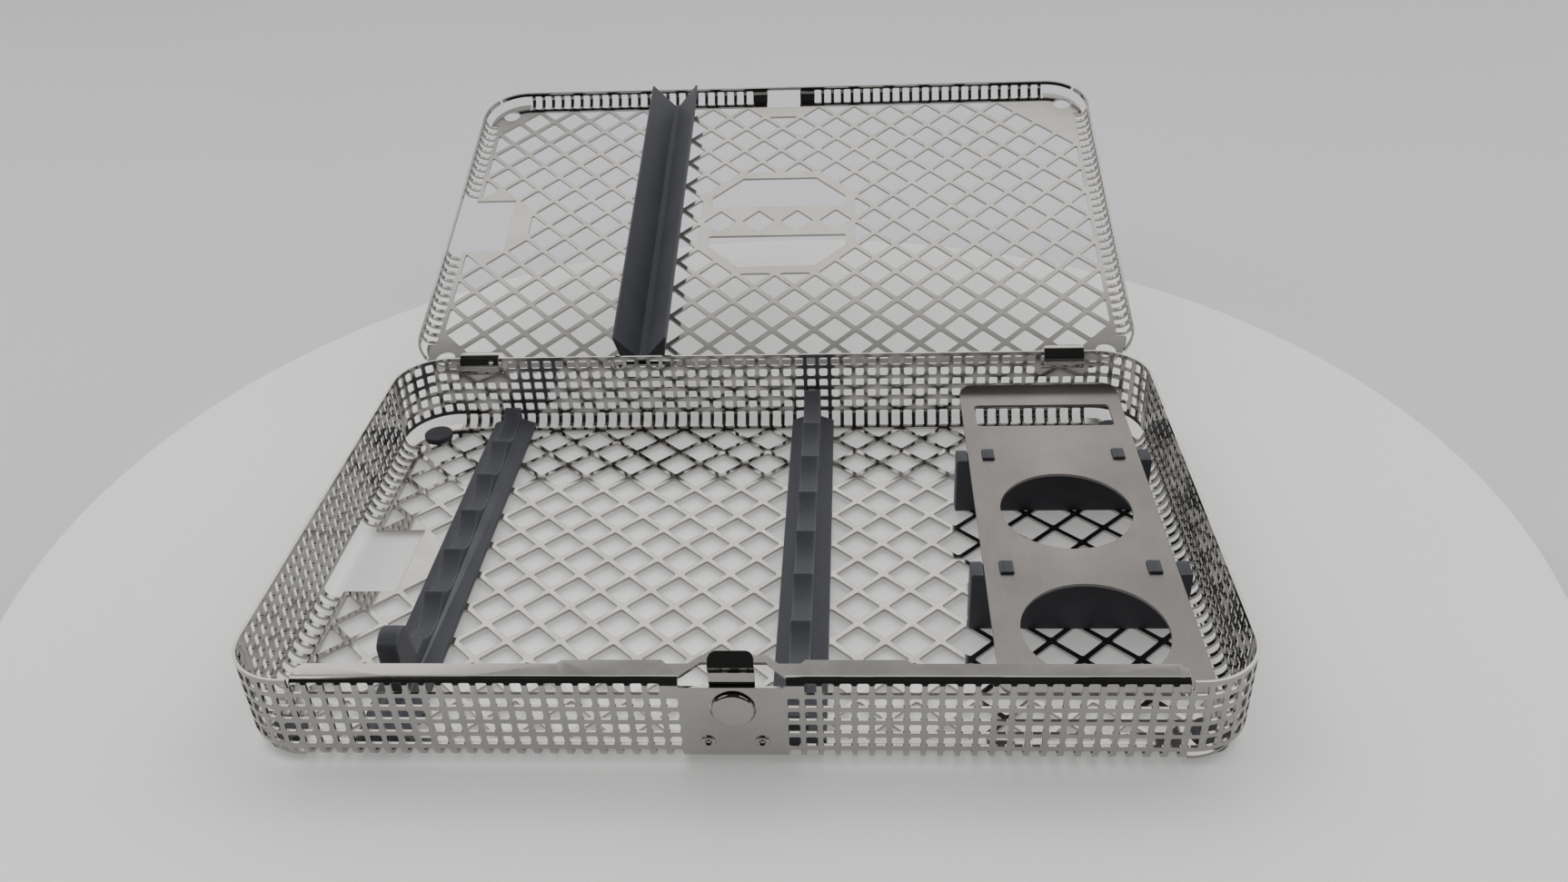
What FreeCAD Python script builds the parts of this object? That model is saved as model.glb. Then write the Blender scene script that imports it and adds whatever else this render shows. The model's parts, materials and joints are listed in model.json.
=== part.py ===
"""Instrument wash basket with a hinged lid, standing open on a flat surface.

Everything is drawn in millimetres with x = 0 and y = 0 at the middle of the base tray and z = 0 at its
underside. The lid and its pieces are drawn as a tray lying on its back, and are then carried to the hinge.
"""
import FreeCAD, Part
import math
import os

V = FreeCAD.Vector

# Both trays
TRAY_WIDTH = 280.0
TRAY_DEPTH = 181.4
SHEET = 0.9
CORNER_RADIUS = 18.4
FLOOR_BEND_RADIUS = 4.6
BASE_HEIGHT = 29.2
LID_HEIGHT = 6.2

# Square wall holes and the slots through the floor bend
HOLE_PITCH = 4.6
HOLE_SIZE = 3.2
LOW_ROW_HEIGHT = 7.8
SLOT_WIDTH = 3.2
SLOT_WALL_END = 4.7
SLOT_FLOOR_END = 5.7
BEND_LAND = 0.6
EDGE_STRIP = 0.8

# Corners
SEAM_GAP = 1.5
WELD_TAB = 2.0
CORNER_TAB_GAP = 1.0
CORNER_FLOOR_GAP = 1.3
LID_CORNER_GAP = 1.4
FOOT_INSET = 10.8

# Diamond lattice of the floor and the lid
LATTICE_PITCH = 16.6
LATTICE_RIB = 1.75
LATTICE_EDGE = 7.0
LABEL_LENGTH = 34.0
LABEL_REACH = 23.2
LID_WINDOW_BAND = 4.1
LID_MIDDLE_BAND = 2.4
LID_PLAIN_CORNER_CELLS = 2
LID_WINDOW_CELLS = 4

# Inward flange on the base's front wall, and the cut-out behind the latch
FLANGE_BEND_RADIUS = 1.35
FLANGE_REACH = 6.8
FLANGE_WIDE_REACH = 8.2
FLANGE_WIDE_INNER = 18.6
FLANGE_WIDE_OUTER = 46.9
FLANGE_END_INSET = 21.1
FLANGE_END_CHAMFER = 2.0
CUTOUT_HALF_WIDTH = 15.5
CUTOUT_DEPTH = 7.2
CUTOUT_SLOPE_START = 1.8
CUTOUT_STRIP = 2.8
CUTOUT_DROP = 2.2
PLAIN_PANEL_WIDTH = 27.6

# Latch
LATCH_SHEET = 0.7
LATCH_GAP = 0.3
LATCH_WIDTH = 12.2
LATCH_FOOT_WIDTH = 20.6
LATCH_FOOT_HEIGHT = 5.2
LATCH_CORNER_RADIUS = 2.3
LATCH_FOOT_CORNER = 1.3
LATCH_PIVOT_HEIGHT = 7.8
LATCH_NOSE_REACH = 1.1
LATCH_NOSE_RISE = 2.6
LATCH_LIP_BACK = 3.4
LATCH_LIP_RISE = 3.1
LATCH_NOSE_GAP = 0.3
BUTTON_DIAMETER = 11.6
BUTTON_HEIGHT = 19.6
BUTTON_PROUD = 1.3
BUTTON_EDGE_RADIUS = 0.85
BUTTON_GAP = 0.4
RIVET_SPACING = 14.6
RIVET_SHANK_DIAMETER = 2.2
RIVET_SHANK_FIT = 0.05
RIVET_LEAF_GAP = 0.3
RIVET_HEAD_DIAMETER = 4.2
RIVET_HEAD_HEIGHT = 0.6
RIVET_DIMPLE_DIAMETER = 1.6
RIVET_DIMPLE_DEPTH = 0.3

# Hinge
HINGE_SETBACK = 0.1
HINGE_DROP = 2.5
HINGE_GAP = 0.3
HINGE_STRIP = 1.6
HOOK_SHEET = 0.9
HOOK_INNER_RADIUS = 3.4
HOOK_WIDTH = 14.7
HOOK_SIDE_GAP = 0.75
HOOK_SPACING = 221.2
HOOK_FOOT_LOW = 0.2
HOOK_FOOT_HEIGHT = 1.6
HOOK_END_ANGLE = 122.6
HOOK_CORNER_RADIUS = 2.0
HOOK_HOLE_DIAMETER = 1.8
HOOK_HOLE_OFFSET = 4.6
HOOK_HOLE_ANGLE = 48.0
LID_OPENING = 162.4
LID_GAP = 0.3
LATCH_WINDOW_WIDTH = 15.6
LATCH_WINDOW_REACH = 8.6
LATCH_WINDOW_RIM = 1.3

# Feet
FOOT_HEAD_DIAMETER = 10.6
FOOT_HEAD_HEIGHT = 1.2
FOOT_HOLE_DIAMETER = 7.7
FOOT_FIT = 0.05
FOOT_BELOW = 1.2
FOOT_EDGE_RADIUS = 0.5

# Scalloped silicone rest bars on the floor
BAR_BASE_WIDTH = 15.8
BAR_BASE_HEIGHT = 2.2
BAR_SLOPE_HEIGHT = 1.8
BAR_RIDGE_WIDTH = 6.2
BAR_END_GAP = 0.6
BAR_CUSP_INSET = 1.7
SCALLOP_PITCH = 22.36
SCALLOP_DEPTH = 4.6
LEFT_BAR_X = -99.8
LEFT_BAR_HEIGHT = 9.0
CENTRE_BAR_X = 16.5
CENTRE_BAR_HEIGHT = 15.6
LEFT_SCALLOPS = 6
CENTRE_SCALLOPS = 7
STOP_FLAT = 7.1
STOP_RUN = 3.1
STOP_HEIGHT = 13.2
STOP_CROWN = 1.4
STOP_TOP_LENGTH = 7.4
STOP_LENGTH = 8.8
STOP_SHOULDER = 2.6

# Silicone V-bar in the lid
LID_BAR_X = -49.8
LID_BAR_BASE_WIDTH = 16.2
LID_BAR_TOP_WIDTH = 20.9
LID_BAR_HEIGHT = 13.8
LID_BAR_LIP = 0.7
LID_BAR_VALLEY_HEIGHT = 3.0
LID_BAR_VALLEY_WIDTH = 2.4
LID_BAR_BACK_INSET = 6.9
LID_BAR_END_GAP = 0.9
LID_BAR_END_UNDERCUT = 2.3

# Holder plate and its two silicone cross bars
PLATE_X = 99.5
PLATE_WIDTH = 57.1
PLATE_SHEET = 0.9
PLATE_CLEARANCE = 19.8
PLATE_FRONT = -86.3
PLATE_FLAT_LENGTH = 153.4
PLATE_CURL_RADIUS = 10.0
PLATE_CURL_ANGLE = 45.0
PLATE_CORNER_RADIUS = 4.0
WELL_DIAMETER = 41.4
WELL_FRONT_Y = -61.0
WELL_BACK_Y = -2.4
PLATE_WINDOW_WIDTH = 47.8
PLATE_WINDOW_LENGTH = 14.3
PLATE_WINDOW_Y = 56.3
PLATE_WINDOW_RADIUS = 1.5
PEG_SPACING = 43.6
PEG_WIDTH = 4.0
PEG_LENGTH = 5.6
PEG_GAP = 0.1
PEG_PROUD = 0.9
CROSS_FRONT_Y = -32.6
CROSS_BACK_Y = 30.0
CROSS_LENGTH = 65.1
CROSS_THICKNESS = 6.9
CROSS_POST_GAP = 0.3
CROSS_POST_ROUNDING = 0.7

# Values worked out from the sizes above
HALF_W = TRAY_WIDTH / 2
HALF_D = TRAY_DEPTH / 2
CENTRE_X = HALF_W - CORNER_RADIUS
CENTRE_Y = HALF_D - CORNER_RADIUS
LONG_COLUMNS = int(CENTRE_X / HOLE_PITCH)
LONG_HALF = LONG_COLUMNS * HOLE_PITCH
SIDE_COLUMNS = int((CENTRE_Y - HOLE_SIZE / 2 - EDGE_STRIP) / HOLE_PITCH)
SIDE_HALF = SIDE_COLUMNS * HOLE_PITCH + HOLE_SIZE / 2 + EDGE_STRIP
WALL_START = max(SLOT_WALL_END, FLOOR_BEND_RADIUS) + BEND_LAND
FLOOR_INSET = max(SLOT_FLOOR_END, FLOOR_BEND_RADIUS) + BEND_LAND
HALF_CELL = LATTICE_PITCH / 2
CELL_REACH = HALF_CELL - LATTICE_RIB / math.sqrt(2)
HINGE_Y = HALF_D + HINGE_SETBACK
HINGE_Z = BASE_HEIGHT - HINGE_DROP
HOOK_OUTER_RADIUS = HOOK_INNER_RADIUS + HOOK_SHEET
LID_BACK_HEIGHT = HINGE_DROP + LID_GAP + LID_HEIGHT
BAR_LENGTH = 2 * (HALF_D - FLOOR_BEND_RADIUS - BAR_END_GAP)
LEAF_Y = -HALF_D + SHEET + LATCH_GAP
CLOSED_RIM_Z = BASE_HEIGHT + LID_GAP
OPEN_TILT = math.radians(180 - LID_OPENING)
PLATE_TOP = SHEET + PLATE_CLEARANCE + PLATE_SHEET


def box(x0, x1, y0, y1, z0, z1):
    return Part.makeBox(x1 - x0, y1 - y0, z1 - z0, V(x0, y0, z0))


def flat(x, y):
    return V(x, y, 0)


def upright(x, z):
    return V(x, 0, z)


def sideways(y, z):
    return V(0, y, z)


def loop(points, at):
    """Closed polygon through 2-D points, laid in a plane by the function at."""
    corners = [at(*point) for point in points]
    return Part.makePolygon(corners + corners[:1])


def rectangle(u0, u1, v0, v1):
    return [(u0, v0), (u1, v0), (u1, v1), (u0, v1)]


def mirror_x(shape):
    return shape.mirror(V(0, 0, 0), V(1, 0, 0))


def mirror_y(shape):
    return shape.mirror(V(0, 0, 0), V(0, 1, 0))


def moved(shape, x=0.0, y=0.0, z=0.0):
    copy = shape.copy()
    copy.translate(V(x, y, z))
    return copy


def turned(shape, axis, degrees, centre=None):
    copy = shape.copy()
    copy.rotate(centre or V(0, 0, 0), axis, degrees)
    return copy


def join(pieces):
    """Joins touching pieces of one node into one solid and merges its flush faces."""
    whole = pieces[0].multiFuse(pieces[1:]).removeSplitter()
    return whole.Solids[0]


def weld(pieces):
    """Joins the sheets of a tray into one solid, with the lines between flush faces left in."""
    whole = pieces[0].multiFuse(pieces[1:])
    return whole.Solids[0]


def rounded_rectangle(u0, u1, v0, v1, radius, at):
    """Rectangle with four round corners as one wire."""
    lean = radius * (1 - math.sqrt(0.5))
    edges = []
    corners = [(u1, v0, -1, 1), (u1, v1, -1, -1), (u0, v1, 1, -1), (u0, v0, 1, 1)]
    last = at(u0 + radius, v0)
    for turn, (u, v, to_u, to_v) in enumerate(corners):
        along_u = at(u + to_u * radius, v)
        along_v = at(u, v + to_v * radius)
        start, end = (along_u, along_v) if turn % 2 == 0 else (along_v, along_u)
        edges.append(Part.LineSegment(last, start).toShape())
        edges.append(Part.Arc(start, at(u + to_u * lean, v + to_v * lean), end).toShape())
        last = end
    return Part.Wire(edges)


def sheet_section(points, thickness):
    """Outline of a bent sheet: the front face's points, and the same line set back by its thickness."""
    normals = []
    for (y0, z0), (y1, z1) in zip(points, points[1:]):
        length = math.hypot(y1 - y0, z1 - z0)
        normals.append(((z1 - z0) / length, (y0 - y1) / length))
    back = []
    for k, (y, z) in enumerate(points):
        before = normals[max(k - 1, 0)]
        after = normals[min(k, len(normals) - 1)]
        scale = thickness / (1 + before[0] * after[0] + before[1] * after[1])
        back.append((y + scale * (before[0] + after[0]), z + scale * (before[1] + after[1])))
    return points + back[::-1]


def hole_rows():
    top = BASE_HEIGHT - FLANGE_BEND_RADIUS - HOLE_SIZE / 2
    count = int((top - LOW_ROW_HEIGHT) / HOLE_PITCH) + 1
    return [LOW_ROW_HEIGHT + row * HOLE_PITCH for row in range(count)]


def long_columns():
    half = [(k + 0.5) * HOLE_PITCH for k in range(LONG_COLUMNS)]
    return [-x for x in reversed(half)] + half


def side_columns():
    return [k * HOLE_PITCH for k in range(-SIDE_COLUMNS, SIDE_COLUMNS + 1)]


def hook_centres():
    return [-HOOK_SPACING / 2, HOOK_SPACING / 2]


def beside_hook(x, reach):
    return min(abs(x - centre) for centre in hook_centres()) < HOOK_WIDTH / 2 + HOOK_SIDE_GAP + reach


def hinge_slot_heights():
    low = HINGE_Z - HOOK_OUTER_RADIUS - HINGE_GAP
    return low, BASE_HEIGHT - HINGE_STRIP


def punched(outline, openings):
    """Plane face with openings, each opening turned so that it is cut out."""
    face = Part.Face([outline] + openings)
    face.validate()
    return face


def wall_panel(half, openings, top):
    """Flat wall with its outer face on y = 0 and its thickness towards +y."""
    outline = loop(rectangle(-half, half, WALL_START, top), upright)
    return punched(outline, openings).extrude(V(0, SHEET, 0))


def square_hole(x, z):
    half = HOLE_SIZE / 2
    return loop(rectangle(x - half, x + half, z - half, z + half), upright)


def front_wall():
    """Front wall of the base: plain middle with the button hole, holes elsewhere, lower at the latch."""
    openings = []
    rows = hole_rows()
    for x in long_columns():
        for z in rows:
            plain = abs(x) < PLAIN_PANEL_WIDTH / 2
            cut = z == rows[-1] and abs(x) - HOLE_SIZE / 2 < CUTOUT_HALF_WIDTH + EDGE_STRIP
            if not plain and not cut:
                openings.append(square_hole(x, z))
    outward = V(0, 1, 0)
    button_radius = BUTTON_DIAMETER / 2 + BUTTON_GAP
    openings.append(Part.Wire(Part.makeCircle(button_radius, V(0, 0, BUTTON_HEIGHT), outward)))
    for side in (-1, 1):
        centre = V(side * RIVET_SPACING / 2, 0, LATCH_PIVOT_HEIGHT)
        radius = RIVET_SHANK_DIAMETER / 2 + RIVET_SHANK_FIT
        openings.append(Part.Wire(Part.makeCircle(radius, centre, outward)))
    top = BASE_HEIGHT - FLANGE_BEND_RADIUS
    panel = wall_panel(LONG_HALF, openings, top)
    return moved(panel, y=-HALF_D)


def flange_outline():
    """Plan of the front flange's back edge, from its right end to its left end, y from the front face."""
    end = HALF_W - FLANGE_END_INSET
    strip_edge = CUTOUT_DEPTH + CUTOUT_STRIP
    narrow = CUTOUT_HALF_WIDTH - (CUTOUT_DEPTH - CUTOUT_SLOPE_START)
    step = FLANGE_WIDE_REACH - FLANGE_REACH
    right = [
        (end, -FLANGE_REACH),
        (end, FLANGE_REACH - FLANGE_END_CHAMFER),
        (end - FLANGE_END_CHAMFER, FLANGE_REACH),
        (FLANGE_WIDE_OUTER + step / 2, FLANGE_REACH),
        (FLANGE_WIDE_OUTER - step / 2, FLANGE_WIDE_REACH),
        (FLANGE_WIDE_INNER + step / 2, FLANGE_WIDE_REACH),
        (FLANGE_WIDE_INNER - step / 2, FLANGE_REACH),
        (narrow + strip_edge - FLANGE_REACH, FLANGE_REACH),
        (narrow, strip_edge),
    ]
    return right + [(-x, y) for x, y in reversed(right)]


def front_flange():
    """Inward flange along the front rim, bridged behind the latch by a narrow strip."""
    radius = FLANGE_BEND_RADIUS
    inner = radius - SHEET
    top = BASE_HEIGHT
    reach = CUTOUT_DEPTH + CUTOUT_STRIP + EDGE_STRIP
    lean = math.sqrt(0.5)
    centre = (radius, top - radius)
    outer_mid = (centre[0] - radius * lean, centre[1] + radius * lean)
    inner_mid = (centre[0] - inner * lean, centre[1] + inner * lean)
    section = Part.Wire([
        Part.LineSegment(sideways(0, top - radius), sideways(SHEET, top - radius)).toShape(),
        Part.Arc(sideways(SHEET, top - radius), sideways(*inner_mid),
                 sideways(radius, top - SHEET)).toShape(),
        Part.LineSegment(sideways(radius, top - SHEET), sideways(reach, top - SHEET)).toShape(),
        Part.LineSegment(sideways(reach, top - SHEET), sideways(reach, top)).toShape(),
        Part.LineSegment(sideways(reach, top), sideways(radius, top)).toShape(),
        Part.Arc(sideways(radius, top), sideways(*outer_mid), sideways(0, top - radius)).toShape(),
    ])
    length = TRAY_WIDTH - 2 * FLANGE_END_INSET
    bar = moved(Part.Face(section).extrude(V(length, 0, 0)), x=-length / 2)
    plan = Part.Face(loop(flange_outline(), flat)).extrude(V(0, 0, 2 * top))
    return moved(bar.common(plan), y=-HALF_D)


def latch_cutout():
    """Space taken out of the front wall and flange where the latch leaf stands up."""
    narrow = CUTOUT_HALF_WIDTH - (CUTOUT_DEPTH - CUTOUT_SLOPE_START)
    outline = [
        (-CUTOUT_HALF_WIDTH, -SHEET),
        (CUTOUT_HALF_WIDTH, -SHEET),
        (CUTOUT_HALF_WIDTH, CUTOUT_SLOPE_START),
        (narrow, CUTOUT_DEPTH),
        (-narrow, CUTOUT_DEPTH),
        (-CUTOUT_HALF_WIDTH, CUTOUT_SLOPE_START),
    ]
    prism = Part.Face(loop(outline, flat)).extrude(V(0, 0, CUTOUT_DROP + SHEET))
    return moved(prism, y=-HALF_D, z=BASE_HEIGHT - CUTOUT_DROP)


def back_wall():
    """Back wall of the base with its holes and the two hinge slots."""
    low, high = hinge_slot_heights()
    openings = []
    margin = HOLE_SIZE / 2 + EDGE_STRIP
    for x in long_columns():
        for z in hole_rows():
            if beside_hook(x, margin - HOLE_SIZE / 2) and z > low - margin:
                continue
            openings.append(square_hole(x, z))
    reach = HOOK_WIDTH / 2 + HOOK_SIDE_GAP
    for centre in hook_centres():
        openings.append(loop(rectangle(centre - reach, centre + reach, low, high), upright))
    return moved(wall_panel(LONG_HALF, openings, BASE_HEIGHT), y=HALF_D - SHEET)


def right_wall():
    openings = [square_hole(x, z) for x in side_columns() for z in hole_rows()]
    panel = wall_panel(SIDE_HALF, openings, BASE_HEIGHT)
    return moved(turned(panel, V(0, 0, 1), 90), x=HALF_W)


def bend_strip(half, top, slots):
    """Bent edge between floor and wall, its outer face on y = 0, cut by the listed slots."""
    radius = FLOOR_BEND_RADIUS
    inner = radius - SHEET
    lean = 1 - math.sqrt(0.5)
    outer_mid = radius * lean
    inner_mid = SHEET + inner * lean
    section = Part.Wire([
        Part.LineSegment(sideways(0, top), sideways(0, radius)).toShape(),
        Part.Arc(sideways(0, radius), sideways(outer_mid, outer_mid), sideways(radius, 0)).toShape(),
        Part.LineSegment(sideways(radius, 0), sideways(FLOOR_INSET, 0)).toShape(),
        Part.LineSegment(sideways(FLOOR_INSET, 0), sideways(FLOOR_INSET, SHEET)).toShape(),
        Part.LineSegment(sideways(FLOOR_INSET, SHEET), sideways(radius, SHEET)).toShape(),
        Part.Arc(sideways(radius, SHEET), sideways(inner_mid, inner_mid), sideways(SHEET, radius)).toShape(),
        Part.LineSegment(sideways(SHEET, radius), sideways(SHEET, top)).toShape(),
        Part.LineSegment(sideways(SHEET, top), sideways(0, top)).toShape(),
    ])
    bar = moved(Part.Face(section).extrude(V(2 * half, 0, 0)), x=-half)
    return bar.cut(Part.makeCompound(slots))


def bend_slot(x):
    half = SLOT_WIDTH / 2
    return box(x - half, x + half, -SHEET, SLOT_FLOOR_END, -SHEET, SLOT_WALL_END)


def label_cut():
    """Gap through the floor bend where the label window meets the left wall."""
    half = LABEL_LENGTH / 2
    return box(-half, half, -SHEET, FLOOR_INSET + SHEET, -SHEET, SLOT_WALL_END)


def latch_window():
    """Window through the lid's front rim that the latch nose enters."""
    half = LATCH_WINDOW_WIDTH / 2
    return box(-half, half, -SHEET, FLOOR_INSET + SHEET, -SHEET, LID_HEIGHT - LATCH_WINDOW_RIM)


def long_strip(top, skip, extra=()):
    """Bent edge along a long side, with its outer face on y = 0 and a slot at each column not skipped."""
    half = LONG_HALF + (HOLE_PITCH - SLOT_WIDTH) / 2
    slots = [bend_slot(x) for x in long_columns() if not skip(x)]
    return bend_strip(half, top, slots + list(extra))


def side_strip(top, extra=()):
    slots = [bend_slot(y) for y in side_columns()]
    return bend_strip(SIDE_HALF, top, slots + list(extra))


def in_plain_panel(x):
    return abs(x) < PLAIN_PANEL_WIDTH / 2


def at_hook(x):
    return beside_hook(x, 0)


def no_column(x):
    return False


def placed_round(front, back, left, right):
    """Puts four edge strips on the front, back, left and right of a tray."""
    upwards = V(0, 0, 1)
    return [
        moved(front, y=-HALF_D),
        moved(turned(back, upwards, 180), y=HALF_D),
        moved(turned(left, upwards, -90), x=-HALF_W),
        moved(turned(right, upwards, 90), x=HALF_W),
    ]


def corner_band(low, high):
    """Strip rolled round the back right corner, from the back wall's end to the side wall's end."""
    lean = math.sqrt(0.5)
    inner = CORNER_RADIUS - SHEET
    outer_mid = flat(CENTRE_X + CORNER_RADIUS * lean, CENTRE_Y + CORNER_RADIUS * lean)
    inner_mid = flat(CENTRE_X + inner * lean, CENTRE_Y + inner * lean)
    outline = Part.Wire([
        Part.LineSegment(flat(LONG_HALF, HALF_D), flat(CENTRE_X, HALF_D)).toShape(),
        Part.Arc(flat(CENTRE_X, HALF_D), outer_mid, flat(HALF_W, CENTRE_Y)).toShape(),
        Part.LineSegment(flat(HALF_W, CENTRE_Y), flat(HALF_W, SIDE_HALF)).toShape(),
        Part.LineSegment(flat(HALF_W, SIDE_HALF), flat(HALF_W - SHEET, SIDE_HALF)).toShape(),
        Part.LineSegment(flat(HALF_W - SHEET, SIDE_HALF), flat(HALF_W - SHEET, CENTRE_Y)).toShape(),
        Part.Arc(flat(HALF_W - SHEET, CENTRE_Y), inner_mid, flat(CENTRE_X, HALF_D - SHEET)).toShape(),
        Part.LineSegment(flat(CENTRE_X, HALF_D - SHEET), flat(LONG_HALF, HALF_D - SHEET)).toShape(),
        Part.LineSegment(flat(LONG_HALF, HALF_D - SHEET), flat(LONG_HALF, HALF_D)).toShape(),
    ])
    return moved(Part.Face(outline).extrude(V(0, 0, high - low)), z=low)


def corner_holes():
    """Hole cutters for the columns that go round the back right corner."""
    seam_angle = math.acos(min(1.0, (SIDE_HALF + SEAM_GAP - CENTRE_Y) / CORNER_RADIUS))
    middle_radius = CORNER_RADIUS - SHEET / 2
    straight = CENTRE_X - LONG_HALF
    last = straight + middle_radius * seam_angle - HOLE_SIZE / 2 - EDGE_STRIP
    half = HOLE_SIZE / 2
    cutters = []
    run = HOLE_PITCH / 2
    while run <= last:
        angle = max(0.0, (run - straight) / middle_radius)
        along = min(run, straight) + LONG_HALF - CENTRE_X
        for z in hole_rows():
            hole = box(-half, half, middle_radius - 2 * SHEET, middle_radius + 2 * SHEET, z - half, z + half)
            hole = moved(hole, x=along)
            cutters.append(moved(turned(hole, V(0, 0, 1), -math.degrees(angle)), x=CENTRE_X, y=CENTRE_Y))
        run += HOLE_PITCH
    return cutters


def base_corners():
    """The four rolled corners with their holes, open at the seam but for a weld at the top."""
    band = corner_band(SLOT_WALL_END, BASE_HEIGHT)
    seam = box(HALF_W - 2 * SHEET, HALF_W + SHEET, SIDE_HALF - SHEET, SIDE_HALF + SEAM_GAP,
               0, BASE_HEIGHT - WELD_TAB)
    corner = band.cut(Part.makeCompound(corner_holes() + [seam]))
    right = [corner, mirror_y(corner)]
    return right + [mirror_x(piece) for piece in right]


def lid_corners():
    """The lid's rim curled round each corner, its two ends meeting with a gap."""
    band = corner_band(SLOT_WALL_END, LID_HEIGHT)
    half = LID_CORNER_GAP / 2
    gap = box(-half, half, 0, 2 * CORNER_RADIUS, 0, 2 * LID_HEIGHT)
    gap = moved(turned(gap, V(0, 0, 1), -45), x=CENTRE_X, y=CENTRE_Y)
    corner = band.cut(gap)
    right = [corner, mirror_y(corner)]
    return right + [mirror_x(piece) for piece in right]


def quarter_corner():
    """Round end of the floor at the back right corner: the points before and after its arc."""
    radius = CORNER_RADIUS - SHEET - CORNER_FLOOR_GAP
    tab_x = LONG_HALF + (HOLE_PITCH - SLOT_WIDTH) / 2 + CORNER_TAB_GAP
    tab_y = SIDE_HALF + CORNER_TAB_GAP
    arc_y = CENTRE_Y + math.sqrt(radius ** 2 - (tab_x - CENTRE_X) ** 2)
    arc_x = CENTRE_X + math.sqrt(radius ** 2 - (tab_y - CENTRE_Y) ** 2)
    middle = (CENTRE_X + radius * math.sqrt(0.5), CENTRE_Y + radius * math.sqrt(0.5))
    return [(tab_x, HALF_D - FLOOR_INSET), (tab_x, arc_y), middle, (arc_x, tab_y),
            (HALF_W - FLOOR_INSET, tab_y)]


def corner_path(side_x, side_y, backwards=False):
    """One corner of the plate as a path: its arc is a pair, the point it passes through and its end."""
    points = [(side_x * x, side_y * y) for x, y in quarter_corner()]
    if backwards:
        points.reverse()
    first, start, through, end, last = points
    return [first, start, (through, end), last]


def traced(path):
    """Closed flat wire along a path of points and arcs."""
    edges = []
    here = flat(*path[0])
    for step in path[1:] + path[:1]:
        if isinstance(step[0], tuple):
            through, end = step
            edges.append(Part.Arc(here, flat(*through), flat(*end)).toShape())
        else:
            end = step
            edges.append(Part.LineSegment(here, flat(*end)).toShape())
        here = flat(*end)
    return Part.Wire(edges)


def plate_outline(back_notch=None):
    """Outline of a tray's flat plate: four round corner tabs and the label notch.

    back_notch, if given, is the half width of a notch at the back and the y of its bottom.
    """
    path = corner_path(1, 1) + corner_path(1, -1, True) + corner_path(-1, -1)
    label = LABEL_LENGTH / 2
    side = FLOOR_INSET - HALF_W
    inner = LABEL_REACH - HALF_W
    path += [(side, -label), (inner, -label), (inner, label), (side, label)]
    path += corner_path(-1, 1, True)
    if back_notch:
        half, bottom = back_notch
        edge = HALF_D - FLOOR_INSET
        path += [(-half, edge), (-half, bottom), (half, bottom), (half, edge)]
    return traced(path)


def cell(i, j, keep=None):
    """Diamond opening at lattice place i, j, or only the half of it that keep names."""
    x = i * HALF_CELL
    y = j * HALF_CELL
    corners = {
        "right": (x + CELL_REACH, y),
        "back": (x, y + CELL_REACH),
        "left": (x - CELL_REACH, y),
        "front": (x, y - CELL_REACH),
    }
    opposite = {"right": "left", "left": "right", "back": "front", "front": "back"}
    if keep:
        del corners[opposite[keep]]
    return loop(list(corners.values()), flat)


def inner_half(i, j, last_i, last_j):
    """Name of the half that stays where a cell lies on the lattice's border."""
    if abs(i) == last_i:
        return "left" if i > 0 else "right"
    if abs(j) == last_j:
        return "front" if j > 0 else "back"
    return None


def beside_label(i, j):
    """The label window takes whole cells, and the half of the one that faces it."""
    x = i * HALF_CELL
    y = abs(j * HALF_CELL)
    inner = LABEL_REACH - HALF_W
    if x < inner + CELL_REACH and y < LABEL_LENGTH / 2 + CELL_REACH - LATTICE_RIB / 2:
        return "none"
    if x < inner + HALF_CELL + LATTICE_RIB and y < LABEL_LENGTH / 2 - CELL_REACH / 2:
        return "right"
    return None


def lattice_places():
    """All lattice places with the half to keep, as (i, j, half)."""
    last_i = int((HALF_W - LATTICE_EDGE) / HALF_CELL)
    last_j = int((HALF_D - LATTICE_EDGE) / HALF_CELL)
    places = []
    for i in range(-last_i, last_i + 1):
        for j in range(-last_j, last_j + 1):
            corner = abs(i) + abs(j) > last_i + last_j - 2
            label = beside_label(i, j)
            if (i + j) % 2 == 0 or corner or label == "none":
                continue
            places.append((i, j, label or inner_half(i, j, last_i, last_j)))
    return places, last_i + last_j


def lid_half(i, j, half, corner_sum):
    """What the lid keeps of a cell: nothing in its windows and beside the latch, halves round them."""
    near = abs(i) + abs(j) <= LID_WINDOW_CELLS + 1
    last_j = int((HALF_D - LATTICE_EDGE) / HALF_CELL)
    plain_corner = i > 0 and j > 0 and i + j > corner_sum - 2 - LID_PLAIN_CORNER_CELLS
    if plain_corner or (abs(i) == 1 and j == last_j):
        return "none"
    if i == 0 and j == last_j - 1:
        return "front"
    if near and max(abs(i), abs(j)) < LID_WINDOW_CELLS and j != 0:
        return "none"
    if near and abs(j) == LID_WINDOW_CELLS:
        return "back" if j > 0 else "front"
    if near and abs(i) == LID_WINDOW_CELLS:
        return "right" if i > 0 else "left"
    return half


def lid_windows():
    """The two halves of the octagon window in the middle of the lid."""
    top = LID_WINDOW_CELLS * HALF_CELL - LID_WINDOW_BAND
    slope = (2 * LID_WINDOW_CELLS - 1) * HALF_CELL - CELL_REACH - LID_WINDOW_BAND * math.sqrt(2) - top
    low = CELL_REACH + LID_MIDDLE_BAND
    points = [(-top, low), (top, low), (top, slope), (slope, top), (-slope, top), (-top, slope)]
    return [loop(points, flat), loop([(x, -y) for x, y in points], flat)]


def foot_holes():
    x = HALF_W - FOOT_INSET
    y = HALF_D - FOOT_INSET
    radius = FOOT_HOLE_DIAMETER / 2
    places = [(x, y), (x, -y), (-x, y), (-x, -y)]
    return [Part.Wire(Part.makeCircle(radius, flat(*place))) for place in places]


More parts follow.
